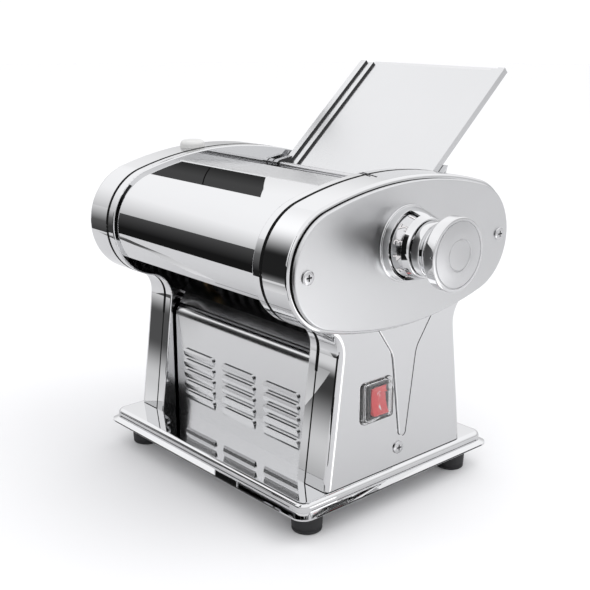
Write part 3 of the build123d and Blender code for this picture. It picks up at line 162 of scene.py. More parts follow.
def surface(name, colour, metal, rough, grain=(1, 1, 1), grain_scale=600.0, grain_bump=0.0,
            rough_span=0.04, cloud_scale=18.0, tint=0.03, extra=None, **sockets):
    """Procedural finish: cloudy tone and roughness, fine grain in roughness and bump."""
    made = bpy.data.materials.new(name)
    made.use_nodes = True
    graph = Graph(made.node_tree)
    shader = made.node_tree.nodes["Principled BSDF"]
    shader.inputs["Metallic"].default_value = metal
    for socket, value in sockets.items():
        shader.inputs[socket.replace("_", " ")].default_value = value
    place = graph.node("ShaderNodeTexCoord").outputs["Object"]
    cloud = graph.noise(place, cloud_scale, 3.0)
    fine = graph.noise(place, grain_scale, 2.0, grain)
    tone = graph.span(cloud, 0.3, 0.7, 1 - tint, 1 + tint)
    base = graph.node("ShaderNodeVectorMath", operation="SCALE", Scale=tone)
    base.inputs[0].default_value = colour[:3]
    graph.feed(shader.inputs["Base Color"], base.outputs[0])
    both = graph.math("ADD", graph.math("MULTIPLY", cloud, 0.5), graph.math("MULTIPLY", fine, 0.5))
    graph.feed(shader.inputs["Roughness"],
               graph.span(both, 0.3, 0.7, max(rough - rough_span, 0.0), rough + rough_span))
    if grain_bump:
        bump = graph.node("ShaderNodeBump", Strength=grain_bump, Distance=0.0002, Height=fine)
        graph.feed(shader.inputs["Normal"], bump.outputs[0])
    if extra:
        extra(graph, shader, place, base.outputs[0])
    return made


TRAY_STEP_HALF_SPAN = 0.0745


def painted_shade_steps(graph, shader, place, base):
    """Painted shade: near-black on the inner steps of the tray's rails, the faces that look along X inside
    its edges.
    """
    facing = graph.node("ShaderNodeTexCoord").outputs["Normal"]
    normal = graph.node("ShaderNodeSeparateXYZ", Vector=facing)
    where = graph.node("ShaderNodeSeparateXYZ", Vector=place)
    sideways = graph.math("GREATER_THAN", graph.math("ABSOLUTE", normal.outputs["X"]), 0.8)
    off = graph.math("ABSOLUTE", graph.math("SUBTRACT", where.outputs["X"], BASE.x))
    inside = graph.math("LESS_THAN", off, TRAY_STEP_HALF_SPAN)
    share = graph.math("MULTIPLY", sideways, inside)
    # painted shade: these step faces turn near-black
    graph.feed(shader.inputs["Base Color"], graph.mix(share, base, grey(0.05)))


# ------------------------------------------------------------------ the user's sizes and colours
def colour_prop(name, description, default):
    return FloatVectorProperty(name=name, description=description, subtype="COLOR", size=3,
                               min=0.0, max=1.0, default=default)


def share_prop(name, description, default):
    return FloatProperty(name=name, description=description, subtype="FACTOR", min=0.0, max=1.0,
                         default=default)


def length_prop(name, description, default):
    return FloatProperty(name=name, description=description, subtype="DISTANCE", unit="LENGTH",
                         min=0.0, default=default)


class PastaFinishSettings(bpy.types.PropertyGroup):
    """Colours and finishes that a user would change."""

    polished: colour_prop("Polished steel", "Mirror-polished housings and covers", (0.70, 0.703, 0.71))
    polished_rough: share_prop("Polish roughness", "Roughness of the mirror finish", 0.012)
    satin: colour_prop("Satin steel", "End caps and feed tray", (0.66, 0.663, 0.67))
    satin_rough: share_prop("Satin roughness", "Roughness of the satin finish", 0.34)
    rocker: colour_prop("Rocker", "Switch rocker", (0.78, 0.05, 0.06))
    rubber: colour_prop("Rubber", "Feet", (0.018, 0.018, 0.02))


class PastaDialSettings(bpy.types.PropertyGroup):
    """Sizes of the dial and its knob."""

    knob_radius: length_prop("Knob radius", "Radius of the knob's wide head", 0.02465)
    ring_radius: length_prop("Ring radius", "Radius of the ring turned into the knob's face", 0.0104)
    digit_height: length_prop("Digit height", "Height of the numbers on the drum", 0.0062)
    numbers: IntProperty(name="Numbers", description="How many numbers the drum carries", default=9,
                         min=1, max=12)
    number_step: FloatProperty(name="Number step", description="Angle from one number to the next",
                               subtype="ANGLE", default=math.radians(27.7))


class PastaTrimSettings(bpy.types.PropertyGroup):
    """Sizes of the switch, the screws and the feet."""

    rocker_dish: length_prop("Rocker dish", "How far the rocker's ends stand above its middle", 0.002)
    mark_width: length_prop("Mark width", "Line width of the O and I marks", 0.0007)
    boot_wall: length_prop("Boot wall", "Wall of the clear switch boot", 0.0009)
    screw_radius: length_prop("Screw radius", "Radius of the housing screw heads", 0.0048)
    # a lip is the real black seal plus painted shade where it is widened past its gap
    gasket_lip_and_shade: length_prop("Gasket lip", "Width of the black lip between frame and housing", 0.0029)
    seal_lip_and_shade: length_prop("Seal lip", "Width of the black lip round each end cap", 0.0017)
    foot_groove: length_prop("Foot groove", "Depth of the moulded groove in each foot", 0.0005)


class PastaStageSettings(bpy.types.PropertyGroup):
    """Studio light and camera."""

    lens: FloatProperty(name="Lens", description="Focal length", unit="CAMERA", default=61.75, min=1.0)
    sky: FloatProperty(name="Sky", description="Brightness of the surrounding light", default=1.0, min=0.0)
    key: FloatProperty(name="Key light", description="Power of the overhead soft light", unit="POWER",
                       default=8.0, min=0.0)


def settings():
    return bpy.context.scene.pasta_finish


# places and sizes of the trim, in millimetres from the middle of the base
CAP_X = 120.1  # outer face of the end caps
DIAL = (-6.0, 195.6)  # (y, z), as for the switch
COLLAR_LENGTH, COLLAR_FLANGE_THICK = 20.4, 1.8
COLLAR_BACK, COLLAR_FRONT, COLLAR_FLANGE = 25.3, 19.9, 26.5
KNOB_X = 141.3
HEAD_Z = 187.3
NOSE_Y, NOSE_RADIUS = -65.5, 41.5
FRAME_X, RIM_X, PEDESTAL_X = 82.0, 90.5, 112.9
PEDESTAL_FRONT_Y, PEDESTAL_LEAN, DECK_Z = -70.5, 7.25, 29.0
CAP_SCREW_Y, PEDESTAL_SCREW_Z = 95.0, 42.7
SWITCH = (-23.6, 85.2)
ROCKER_TILT = -8.0
FONT_SIZE_TO_HEIGHT = 1.45

FINISH_OF_SLOT = {
    "mirror_steel": "mirror", "satin_steel": "satin", "roller_steel": "roller",
    "gear_steel": "gear", "screw_steel": "screw", "motor_steel": "motor",
    "polished_alloy": "mirror", "satin_alloy": "satin", "cast_alloy": "cast", "bronze": "bronze",
    "black_seal": "seal_and_painted_shade", "black_rubber": "rubber", "black_plastic": "black",
    "red_plastic": "red", "white_plastic": "white", "clear_boot": "boot",
}
MATERIALS = {}


def material(name):
    return MATERIALS[name]


def dress(node, name):
    """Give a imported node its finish."""
    target = frame["nodes"][node]
    target.data.materials.clear()
    target.data.materials.append(material(name))


# ------------------------------------------------------------------ mesh helpers
def rounded(corners, steps=5):
    """Outline through (x, r, radius) corners, each corner rounded by its radius."""
    line = []
    for index, (x, r, radius) in enumerate(corners):
        here = Vector((x, r))
        if radius <= 0 or index in (0, len(corners) - 1):
            line.append((x, r))
            continue
        back = Vector(corners[index - 1][:2]) - here
        ahead = Vector(corners[index + 1][:2]) - here
        half = back.angle(ahead) / 2
        reach = min(radius / math.tan(half), back.length * 0.49, ahead.length * 0.49)
        radius = reach * math.tan(half)
        start, end = here + back.normalized() * reach, here + ahead.normalized() * reach
        centre = here + (back.normalized() + ahead.normalized()).normalized() * (radius / math.sin(half))
        first, last = start - centre, end - centre
        for step in range(steps + 1):
            blend = step / steps
            spoke = first.slerp(last, blend, first) if first.length > 1e-9 else first
            line.append(tuple(centre + spoke.normalized() * radius))
    return line


def finish_mesh(name, mesh, materials, sharp=35.0):
    """Object from a bmesh: smooth faces, sharp edges where it turns hard."""
    data = bpy.data.meshes.new(name)
    bmesh.ops.remove_doubles(mesh, verts=mesh.verts, dist=1e-7)
    bmesh.ops.recalc_face_normals(mesh, faces=mesh.faces)
    limit = math.radians(sharp)
    for face in mesh.faces:
        face.smooth = True
    for edge in mesh.edges:
        if len(edge.link_faces) == 2 and edge.calc_face_angle(0.0) > limit:
            edge.smooth = False
    mesh.to_mesh(data)
    mesh.free()
    made = bpy.data.objects.new(name, data)
    bpy.context.scene.collection.objects.link(made)
    for item in materials:
        data.materials.append(material(item))
    return made


def round_x(centre):
    """Places (x, r, angle) round the X line through centre (y, z)."""
    return lambda x, r, angle: at(x, centre[0] + r * math.cos(angle), centre[1] + r * math.sin(angle))


def round_z(centre):
    """Places (z, r, angle) round the upright line through centre (x, y)."""
    return lambda z, r, angle: at(centre[0] + r * math.cos(angle), centre[1] + r * math.sin(angle), z)


def turned(mesh, outline, place, segments=144, paint=0, closed=False):
    """Sweep an (along, radius) outline in millimetres all the way round."""
    rings = []
    for step in range(segments):
        angle = math.tau * step / segments
        rings.append([mesh.verts.new(place(along, r, angle)) for along, r in outline])
    spans = len(outline) if closed else len(outline) - 1
    for step in range(segments):
        a, b = rings[step], rings[(step + 1) % segments]
        for k in range(spans):
            n = (k + 1) % len(outline)
            corners = [a[k], a[n], b[n], b[k]]
            if outline[k][1] < 1e-9:
                corners = [a[k], a[n], b[n]]
            elif outline[n][1] < 1e-9:
                corners = [a[k], a[n], b[k]]
            face = mesh.faces.new(corners)
            face.material_index = paint(outline[k], outline[n]) if callable(paint) else paint
    return mesh


def rounded_box(width, height, radius, steps=8):
    """Points (across, up) round a rounded rectangle."""
    points = []
    for corner, (sx, sy) in enumerate(((1, 1), (-1, 1), (-1, -1), (1, -1))):
        for step in range(steps + 1):
            angle = math.radians(90 * corner + 90 * step / steps)
            points.append((sx * (width / 2 - radius) + radius * math.cos(angle),
                           sy * (height / 2 - radius) + radius * math.sin(angle)))
    return points


def loft(mesh, sections, cap_first=False, cap_last=False, paint=0):
    """Skin between rings of vertices' places; all rings have the same count."""
    rings = [[mesh.verts.new(place) for place in ring] for ring in sections]
    for a, b in zip(rings, rings[1:]):
        for k in range(len(a)):
            n = (k + 1) % len(a)
            mesh.faces.new([a[k], a[n], b[n], b[k]]).material_index = paint
    if cap_first:
        mesh.faces.new(list(reversed(rings[0]))).material_index = paint
    if cap_last:
        mesh.faces.new(rings[-1]).material_index = paint
    return rings


def add(piece, body, slot, *nodes):
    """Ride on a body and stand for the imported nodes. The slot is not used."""
    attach(piece, body)
    if nodes:
        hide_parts(*nodes)


def soften(piece, width, angle):
    """Round the hard edges of a piece for good."""
    step = piece.modifiers.new("edges", "BEVEL")
    step.width, step.segments, step.limit_method = width * MM, 3, "ANGLE"
    step.angle_limit = math.radians(angle)
    step.harden_normals = True
    settle(piece)


def settle(piece):
    """Turn a piece's modifiers into its mesh."""
    bpy.context.view_layer.update()
    seen = piece.evaluated_get(bpy.context.evaluated_depsgraph_get())
    solid = bpy.data.meshes.new_from_object(seen)
    piece.modifiers.clear()
    piece.data = solid


def cut_by(piece, cutter):
    """Take one mesh out of another for good."""
    step = piece.modifiers.new("cut", "BOOLEAN")
    step.object, step.operation, step.solver = cutter, "DIFFERENCE", "EXACT"
    settle(piece)
    bpy.data.objects.remove(cutter)
    if not piece.data.polygons:
        raise RuntimeError("nothing is left of " + piece.name)


# ------------------------------------------------------------------ operators
class PASTA_OT_finishes(bpy.types.Operator):
    """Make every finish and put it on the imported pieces"""

    bl_idname = "pasta.finishes"
    bl_label = "Finishes"

    def execute(self, context):
        look = settings()
        MATERIALS["mirror"] = surface("mirror_polished_steel", look.polished, 1.0, look.polished_rough,
                                      rough_span=0.006, grain_scale=900, tint=0.006)
        MATERIALS["satin"] = surface("satin_steel", look.satin, 1.0, look.satin_rough,
                                     grain_scale=2200, grain_bump=0.05, tint=0.01)
        MATERIALS["panel"] = surface("satin_panel_steel", look.polished, 1.0, 0.17, grain=(1, 1, 0.05),
                                     grain_scale=1800, grain_bump=0.02, tint=0.008)
        # the tray's finish carries painted shade on its rail steps
        MATERIALS["tray"] = surface("brushed_tray_steel", look.satin, 1.0, 0.22, grain=(1, 0.03, 0.03),
                                    grain_scale=1500, grain_bump=0.04, tint=0.01, extra=painted_shade_steps)
        MATERIALS["roller"] = surface("ground_roller_steel", (0.72, 0.72, 0.73), 1.0, 0.12,
                                      grain=(0.1, 1, 1), grain_scale=900, tint=0.01)
        MATERIALS["gear"] = surface("cut_gear_steel", (0.42, 0.42, 0.43), 1.0, 0.36)
        MATERIALS["screw"] = surface("plated_screw", (0.62, 0.62, 0.63), 1.0, 0.24)
        MATERIALS["cast"] = surface("cast_alloy", (0.5, 0.5, 0.51), 1.0, 0.5, grain_bump=0.3)
        MATERIALS["bronze"] = surface("bronze", (0.45, 0.30, 0.14), 1.0, 0.35)
        # black seal finish: the real seals, and painted shade on the V lines and the widened seal lips
        MATERIALS["seal_and_painted_shade"] = surface("black_seal", (0.004, 0.004, 0.004), 0.0, 0.75, Specular_IOR_Level=0.08)
        MATERIALS["rubber"] = surface("black_rubber", look.rubber, 0.0, 0.6, grain_bump=0.15)
        MATERIALS["black"] = surface("black_plastic", (0.02, 0.02, 0.022), 0.0, 0.32)
        MATERIALS["red"] = surface("red_plastic", look.rocker, 0.0, 0.3)
        MATERIALS["white"] = surface("white_nylon", (0.66, 0.66, 0.65), 0.0, 0.45)
        MATERIALS["chute"] = surface("chute_steel", (0.42, 0.42, 0.425), 1.0, 0.16, tint=0.02)
        # painted shade: near-black steel for the dark inside behind the front cover
        MATERIALS["shade"] = surface("cutter_steel_painted_shade", (0.045, 0.045, 0.046), 1.0, 0.45, tint=0.02)
        MATERIALS["boot"] = surface("clear_boot", (1.0, 0.99, 0.99), 0.0, 0.06,
                                    Transmission_Weight=0.97, IOR=1.4)
        MATERIALS["drum"] = surface("polished_drum", (0.62, 0.62, 0.63), 1.0, 0.10, tint=0.01)
        # near-black enamel: print on the numbers, painted shade in the screw recesses
        MATERIALS["ink_and_recess_shade"] = surface("number_enamel_and_recess_shade", (0.03, 0.03, 0.032), 0.0, 0.4)
        MATERIALS["mark"] = surface("white_mark", (0.85, 0.82, 0.82), 0.0, 0.4)
        MATERIALS["knob_face"] = surface("satin_knob_face", (0.62, 0.622, 0.63), 1.0, 0.30,
                                         grain_scale=2400, grain_bump=0.04, tint=0.01)
        MATERIALS["motor"] = surface("motor_paint", (0.05, 0.05, 0.055), 0.0, 0.4)
        for row in frame["record"]["subparts"]:
            dress(row["node"], FINISH_OF_SLOT[row["material_slot"]])
        dress("feed_tray", "tray")
        dress("motor_panel", "panel")
        dress("chute_plate", "chute")
        # painted shade: the cutters and sheet guide are near-black
        for node in ("upper_cutter", "lower_cutter", "sheet_guide"):
            dress(node, "shade")
        return {"FINISHED"}


def collar_radius(x):
    """Outside radius of the collar's bowl, x mm in front of the cap."""
    share = max(0.0, (x - COLLAR_FLANGE_THICK) / (COLLAR_LENGTH - COLLAR_FLANGE_THICK))
    return COLLAR_BACK - (COLLAR_BACK - COLLAR_FRONT) * share ** 1.6


class PASTA_OT_dial_collar(bpy.types.Operator):
    """Polished bowl of the dial, with its flange and the window over the numbers"""

    bl_idname = "pasta.dial_collar"
    bl_label = "Dial collar"

    wall = 1.6
    bowl_start, rim_start = 2.4, 18.6
    window = (7.0, 15.5)
    window_turn = (100.0, 250.0)
    turn_step, window_spans = 2.5, 7

    def execute(self, context):
        mesh = bmesh.new()
        back, front = self.window
        stations = [3.0, 4.4, 5.8, 6.7, back, front, 15.8, 17.0, 18.2]
        stations += [back + (front - back) * k / self.window_spans for k in range(1, self.window_spans)]
        tip = collar_radius(COLLAR_LENGTH)
        rim = rounded([(self.rim_start, collar_radius(self.rim_start), 0), (COLLAR_LENGTH, tip, 0.9),
                       (COLLAR_LENGTH, tip - self.wall, 0.3),
                       (self.rim_start, collar_radius(self.rim_start) - self.wall, 0)], 6)
        flange = rounded([(0, COLLAR_BACK - self.wall, 0), (0, COLLAR_FLANGE, 0.25),
                          (COLLAR_FLANGE_THICK, COLLAR_FLANGE, 0.7),
                          (COLLAR_FLANGE_THICK, COLLAR_BACK, 0.25),
                          (self.bowl_start, collar_radius(self.bowl_start), 0)], 5)
        outside = [(x, collar_radius(x)) for x in sorted(stations)]
        inside = [(x, r - self.wall) for x, r in reversed(outside)]
        outline = flange + outside + rim + inside
        turns = sorted({*(self.turn_step * k for k in range(144)), *self.window_turn})
        place = round_x(DIAL)
        rings = [[mesh.verts.new(place(CAP_X + x, r, math.radians(turn))) for x, r in outline]
                 for turn in turns]
        count = len(outline)

        def in_window(step, k):
            turn = turns[step]
            n = (k + 1) % count
            middle_x = (outline[k][0] + outline[n][0]) / 2
            return (self.window_turn[0] - 0.01 <= turn < self.window_turn[1] - 0.01
                    and back < middle_x < front)

        for step in range(len(turns)):
            a, b = rings[step], rings[(step + 1) % len(turns)]
            for k in range(count):
                n = (k + 1) % count
                if not in_window(step, k):
                    mesh.faces.new([a[k], a[n], b[n], b[k]])
        # walls of the window
        first, last = (outline.index((x, collar_radius(x))) for x in self.window)
        mates = {k: count - 1 - (k - len(flange)) for k in range(first, last + 1)}
        low, high = (turns.index(turn) for turn in self.window_turn)
        for step in range(low, high):
            a, b = rings[step], rings[step + 1]
            for k in (first, last):
                mesh.faces.new([a[k], b[k], b[mates[k]], a[mates[k]]])
        for step in (low, high):
            ring = rings[step]
            for k in range(first, last):
                mesh.faces.new([ring[k], ring[k + 1], ring[mates[k + 1]], ring[mates[k]]])
        collar = finish_mesh("dial_collar_polished", mesh, ["mirror"])
        soften(collar, 0.25, 40.0)
        add(collar, "machine", "mirror_steel", "dial_collar")
        return {"FINISHED"}


def numeral(text, height, swell, lift):
    """Flat solid number in millimetres as a bmesh fine enough to be bent round the drum."""
    font = bpy.data.curves.new("number", "FONT")
    font.body = text
    font.align_x, font.align_y = "CENTER", "CENTER"
    font.size = height * FONT_SIZE_TO_HEIGHT
    font.offset = swell
    font.extrude = lift
    font.resolution_u = 4
    flat = bpy.data.objects.new("number", font)
    bpy.context.scene.collection.objects.link(flat)
    bpy.context.view_layer.update()
    data = bpy.data.meshes.new_from_object(flat.evaluated_get(bpy.context.evaluated_depsgraph_get()))
    bpy.data.objects.remove(flat)
    bpy.data.curves.remove(font)
    shape = bmesh.new()
    shape.from_mesh(data)
    bpy.data.meshes.remove(data)
    bmesh.ops.triangulate(shape, faces=shape.faces)
    long_edges = [edge for edge in shape.edges if edge.calc_length() > 1.0]
    bmesh.ops.subdivide_edges(shape, edges=long_edges, cuts=2)
    return shape


class PASTA_OT_number_drum(bpy.types.Operator):
    """Drum behind the window with its plain numbers"""

    bl_idname = "pasta.number_drum"
    bl_label = "Number drum"

    gap, wall = 2.3, 2.0
    bore, hub, web_half = 6.05, 9.0, 1.5
    spans = 8
    number_x = 11.3
    first_turn = 109.0
    # swell of the letter form, height above the skin, finish and name of each layer of a number
    layers = ((0.26, 0.10, "ink_and_recess_shade", "edge"), (0.03, 0.24, "mark", "face"))

    def execute(self, context):
        look = context.scene.pasta_dial
        back, front = 3.0, COLLAR_LENGTH - 2.0

        def skin(x):
            return collar_radius(x) - self.gap

        outline = [(x, skin(x)) for x in
                   (back + (front - back) * k / self.spans for k in range(self.spans + 1))]
        web = (back + front) / 2
        ahead, behind, inner = web + self.web_half, web - self.web_half, skin(web) - self.wall
        outline += [(front, skin(front) - self.wall), (ahead, inner), (ahead, self.hub), (front, self.hub),
                    (front, self.bore), (behind, self.bore), (behind, inner),
                    (back, skin(back) - self.wall)]
        mesh = turned(bmesh.new(), [(CAP_X + x, r) for x, r in outline], round_x(DIAL), closed=True)
        drum = finish_mesh("number_drum_polished", mesh, ["drum"])
        add(drum, "adjuster", "mirror_steel", "number_drum")
        for number in range(look.numbers):
            facing = math.radians(self.first_turn) + number * look.number_step
            for swell, lift, paint, part in self.layers:
                shape = numeral(str(number + 1), look.digit_height / MM, swell, lift)
                for vert in shape.verts:
                    across, up, out = vert.co
                    x = self.number_x + up
                    turn = facing - across / skin(self.number_x)
                    vert.co = round_x(DIAL)(CAP_X + x, skin(x) + out, turn)
                digit = finish_mesh("number_%d_%s" % (number + 1, part), shape, [paint])
                add(digit, "adjuster", "mirror_steel")
        return {"FINISHED"}


class PASTA_OT_knob(bpy.types.Operator):
    """Pull-and-turn knob: barrel, waist and a wide head with a satin dished face"""

    bl_idname = "pasta.knob"
    bl_label = "Thickness knob"

    length = 24.3
    bore, barrel, waist = 6.1, 18.85, 15.9

    def execute(self, context):
        look = context.scene.pasta_dial
        head, ring = look.knob_radius / MM, look.ring_radius / MM
        face = KNOB_X + self.length
        side = rounded([
            (KNOB_X + 12, self.bore, 0), (KNOB_X, self.bore, 0),
            (KNOB_X, self.barrel, 0.8), (KNOB_X + 6.5, self.barrel, 1.0),
            (KNOB_X + 7.6, self.waist, 1.4), (KNOB_X + 12.4, self.waist - 0.1, 2.4),
            (KNOB_X + 14.5, 18.6, 1.8),
            (KNOB_X + 14.7, head - 1.2, 0.8), (KNOB_X + 16.6, head, 1.6), (face - 0.2, head, 1.3),
            (face, head - 1.7, 0)], 7)
        flat = rounded([
            (face, head - 1.7, 0), (face + 0.05, head - 2.3, 0.1), (face - 0.55, head - 2.5, 0.08),
            (face - 0.55, head - 2.9, 0.08), (face + 0.1, head - 3.1, 0.12),
            (face + 0.85, ring + 4.0, 8.0), (face + 1.1, ring + 0.6, 0.2), (face + 0.3, ring + 0.3, 0.15),
            (face + 0.3, ring - 0.3, 0.15), (face + 0.85, ring - 0.6, 0.2), (face + 0.85, 0, 0)], 6)
        mesh = bmesh.new()

        def in_face(a, b):
            return int(min(a[0], b[0]) > face - 0.6 and max(a[1], b[1]) < head - 1.6)

        turned(mesh, side + flat[1:], round_x(DIAL), 192, paint=in_face)
        knob = finish_mesh("thickness_knob_polished", mesh, ["mirror", "knob_face"])
        add(knob, "knob", "mirror_steel", "thickness_knob")
        return {"FINISHED"}


def cross(arm, half):
    """Twelve corners of an upright cross."""
    points = []
    for turn in range(4):
        for x, y in ((half, half), (half, arm), (-half, arm)):
            for _ in range(turn):
                x, y = -y, x
            points.append((x, y))
    return points


class PASTA_OT_screws(bpy.types.Operator):
    """Domed cross-head screws of both housings"""

    bl_idname = "pasta.screws"
    bl_label = "Housing screws"

    def execute(self, context):
        radius = context.scene.pasta_trim.screw_radius / MM
        for side, node in ((-1, "left_housing_screws"), (1, "right_housing_screws")):
            mesh, slots = bmesh.new(), bmesh.new()
            for x, y, z in ((CAP_X, -CAP_SCREW_Y, HEAD_Z), (CAP_X, CAP_SCREW_Y, HEAD_Z),
                            (PEDESTAL_X, 0.0, PEDESTAL_SCREW_Z)):
                head = rounded([(-9.0, 0, 0), (-9.0, 2.0, 0.3), (0.0, 2.0, 0), (0.0, radius, 0.1),
                                (0.95, radius, 0.3), (1.45, radius - 0.9, 0.6), (1.6, radius - 2.2, 2.0),
                                (1.6, 0, 0)], 7)
                turned(mesh, [(side * (x + along), r) for along, r in head], round_x((y, z)), 64)
                # painted shade: the cross recess is cut with near-black enamel on its walls
                loft(slots, [[at(side * (x + along), y + across, z + up) for across, up in cross(arm, half)]
                             for along, arm, half in ((0.5, 1.2, 0.4), (1.8, 2.5, 0.55))],
                     cap_first=True, cap_last=True, paint=1)
            screws = finish_mesh(node + "_domed", mesh, ["screw", "ink_and_recess_shade"])
            cutter = finish_mesh(node + "_recess", slots, ["screw", "ink_and_recess_shade"])
            cut_by(screws, cutter)
            add(screws, "machine", "screw_steel", node)
        return {"FINISHED"}


class PASTA_OT_seals(bpy.types.Operator):
    """Gaskets and cap seals brought up in their gaps and widened past them: the real black seals, and painted
    shade where the widening covers the edges beside each gap
    """

    bl_idname = "pasta.seals"
    bl_label = "Seals"

    def execute(self, context):
        trim = context.scene.pasta_trim
        kinds = (("_gasket", 1.25, trim.gasket_lip_and_shade), ("_cap_seal", 1.45, trim.seal_lip_and_shade))
        seals = [(side + kind, rise, lip) for kind, rise, lip in kinds for side in ("left", "right")]
        for node, rise, lip in seals:
            low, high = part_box(node)
            centre, widen = (low.x + high.x) / 2, lip / (high.x - low.x)
            packed = frame["nodes"][node]
            mesh = bmesh.new()
            mesh.from_mesh(packed.data)
            mesh.transform(packed.matrix_world)
            bmesh.ops.remove_doubles(mesh, verts=mesh.verts, dist=1e-6)
            mesh.normal_update()
            moves = []
            for vert in mesh.verts:
                out = Vector((0, vert.normal.y, vert.normal.z))
                moves.append(out.normalized() * rise * MM if out.length > 0.2 else Vector())
            for vert, move in zip(mesh.verts, moves):
                vert.co += move
                # painted shade: the widening lays black over the edges beside each gap
                vert.co.x = centre + (vert.co.x - centre) * widen
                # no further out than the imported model's front
                vert.co.y = max(vert.co.y, CAD_BOX[0][1])
            add(finish_mesh(node + "_seal_and_painted_shade", mesh, ["seal_and_painted_shade"]), "machine", "black_seal", node)
        return {"FINISHED"}


class PASTA_OT_vee_painted_shade(bpy.types.Operator):
    """Painted shade: a black line laid round the foot of the raised V panel on each housing, where its edge
    is shaded
    """

    bl_idname = "pasta.vee_seams"
    bl_label = "V painted shade"

    # the two lines overlap between these places across the V's tip
    tip = (2.6, 4.6)

    def execute(self, context):
        line = rounded([(-27.3, 141.8, 0), (-8.8, 116.0, 22.0), (0.1, 52.0, 2.3), (5.3, 52.0, 2.3),
                        (14.2, 116.0, 22.0), (32.7, 141.8, 0)], 12)
        # each line's section, out from the pedestal and sideways from the V's edge
        foot = [(-0.4, -0.25), (0.12, -0.25), (0.3, 0.1), (0.3, 0.7), (0.12, 1.0), (-0.4, 1.0)]
        crest = [(1.1, -0.95), (1.42, -0.9), (1.46, -0.8), (1.46, -0.62), (1.42, -0.52), (1.1, -0.47)]
        for side, name in ((-1, "left_vee_painted_shade"), (1, "right_vee_painted_shade")):
            mesh = bmesh.new()
            for profile, first_y, last_y in ((foot, -math.inf, self.tip[1]), (crest, self.tip[0], math.inf)):
                rings = []
                for k, (y, z) in enumerate(line):
                    a, b = Vector(line[max(k - 1, 0)]), Vector(line[min(k + 1, len(line) - 1)])
                    out = Vector((a.y - b.y, b.x - a.x)).normalized()
                    if first_y < y < last_y:
                        rings.append([at(side * (PEDESTAL_X + x), y + out.x * w, z + out.y * w)
                                      for x, w in profile])
                loft(mesh, rings, True, True)
            # painted shade: a black strip laid where the V's edge is shaded
            add(finish_mesh(name, mesh, ["seal_and_painted_shade"]), "machine", "black_seal")
        return {"FINISHED"}


class PASTA_OT_rocker(bpy.types.Operator):
    """Dished rocker with its O and I marks"""

    bl_idname = "pasta.rocker"
    bl_label = "Switch rocker"

    def execute(self, context):
        trim = context.scene.pasta_trim
        dish, line = trim.rocker_dish / MM, trim.mark_width / MM
        half, width, crown = 9.7, 13.6, 4.05
        tilt = Matrix.Rotation(math.radians(ROCKER_TILT), 4, "Y")
        pivot = at(PEDESTAL_X - 1.5, *SWITCH)

        def place(x, y, z):
            return pivot + tilt @ Vector((x * MM, y * MM, z * MM))

        def skin(z):
            return crown + dish * (z / half) ** 2

        top = [(skin(z), z) for z in (half * (k / 10 - 1) for k in range(21))]
        outline = rounded([(-4.0, -4.4, 0), (3.3, -half, 0.4), (*top[0], 0.5)], 4)[:-1]
        outline += rounded([(5.2, -half, 0), (*top[0], 0.45), (*top[1], 0)], 4)[1:-1] + top[1:-1]
        outline += rounded([(*top[-2], 0), (*top[-1], 0.45), (5.2, half, 0)], 4)[1:-1]
        outline += [(3.3, half), (-4.0, 4.4)]
        mesh = bmesh.new()
        rings = []
        for inset, y in ((0.5, -width / 2), (0.12, -width / 2 + 0.13), (0.0, -width / 2 + 0.5),
                         (0.0, width / 2 - 0.5), (0.12, width / 2 - 0.13), (0.5, width / 2)):
            rings.append([place(x - inset if x > 2 else x, y, z * (1 - inset / half)) for x, z in outline])
        loft(mesh, rings, True, True)
        rocker = finish_mesh("power_rocker_dished", mesh, ["red"])
        add(rocker, "rocker", "red_plastic", "power_rocker")

        marks = bmesh.new()
        ring_z, ring_wide, ring_high, bar_z, bar_half = 4.7, 1.55, 2.0, -4.7, 1.9
        sunk, raised = -0.3, 0.07
        rim = [(ring_wide * math.cos(a), ring_high * math.sin(a)) for a in
               (math.tau * k / 40 for k in range(40))]
        hole = [(y * (1 - line / ring_wide), z * (1 - line / ring_high)) for y, z in rim]
        loft(marks, [[place(skin(ring_z + z) + lift, y, ring_z + z) for y, z in ring]
                     for lift, ring in ((sunk, rim), (raised, rim), (raised, hole), (sunk, hole))])
        bar = [(sy * line / 2, bar_z + sz * bar_half) for sy, sz in ((-1, -1), (1, -1), (1, 1), (-1, 1))]
        loft(marks, [[place(skin(z) + lift, y, z) for y, z in bar] for lift in (sunk, raised)],
             cap_last=True)
        add(finish_mesh("rocker_marks", marks, ["mark"]), "rocker", "red_plastic")
        return {"FINISHED"}


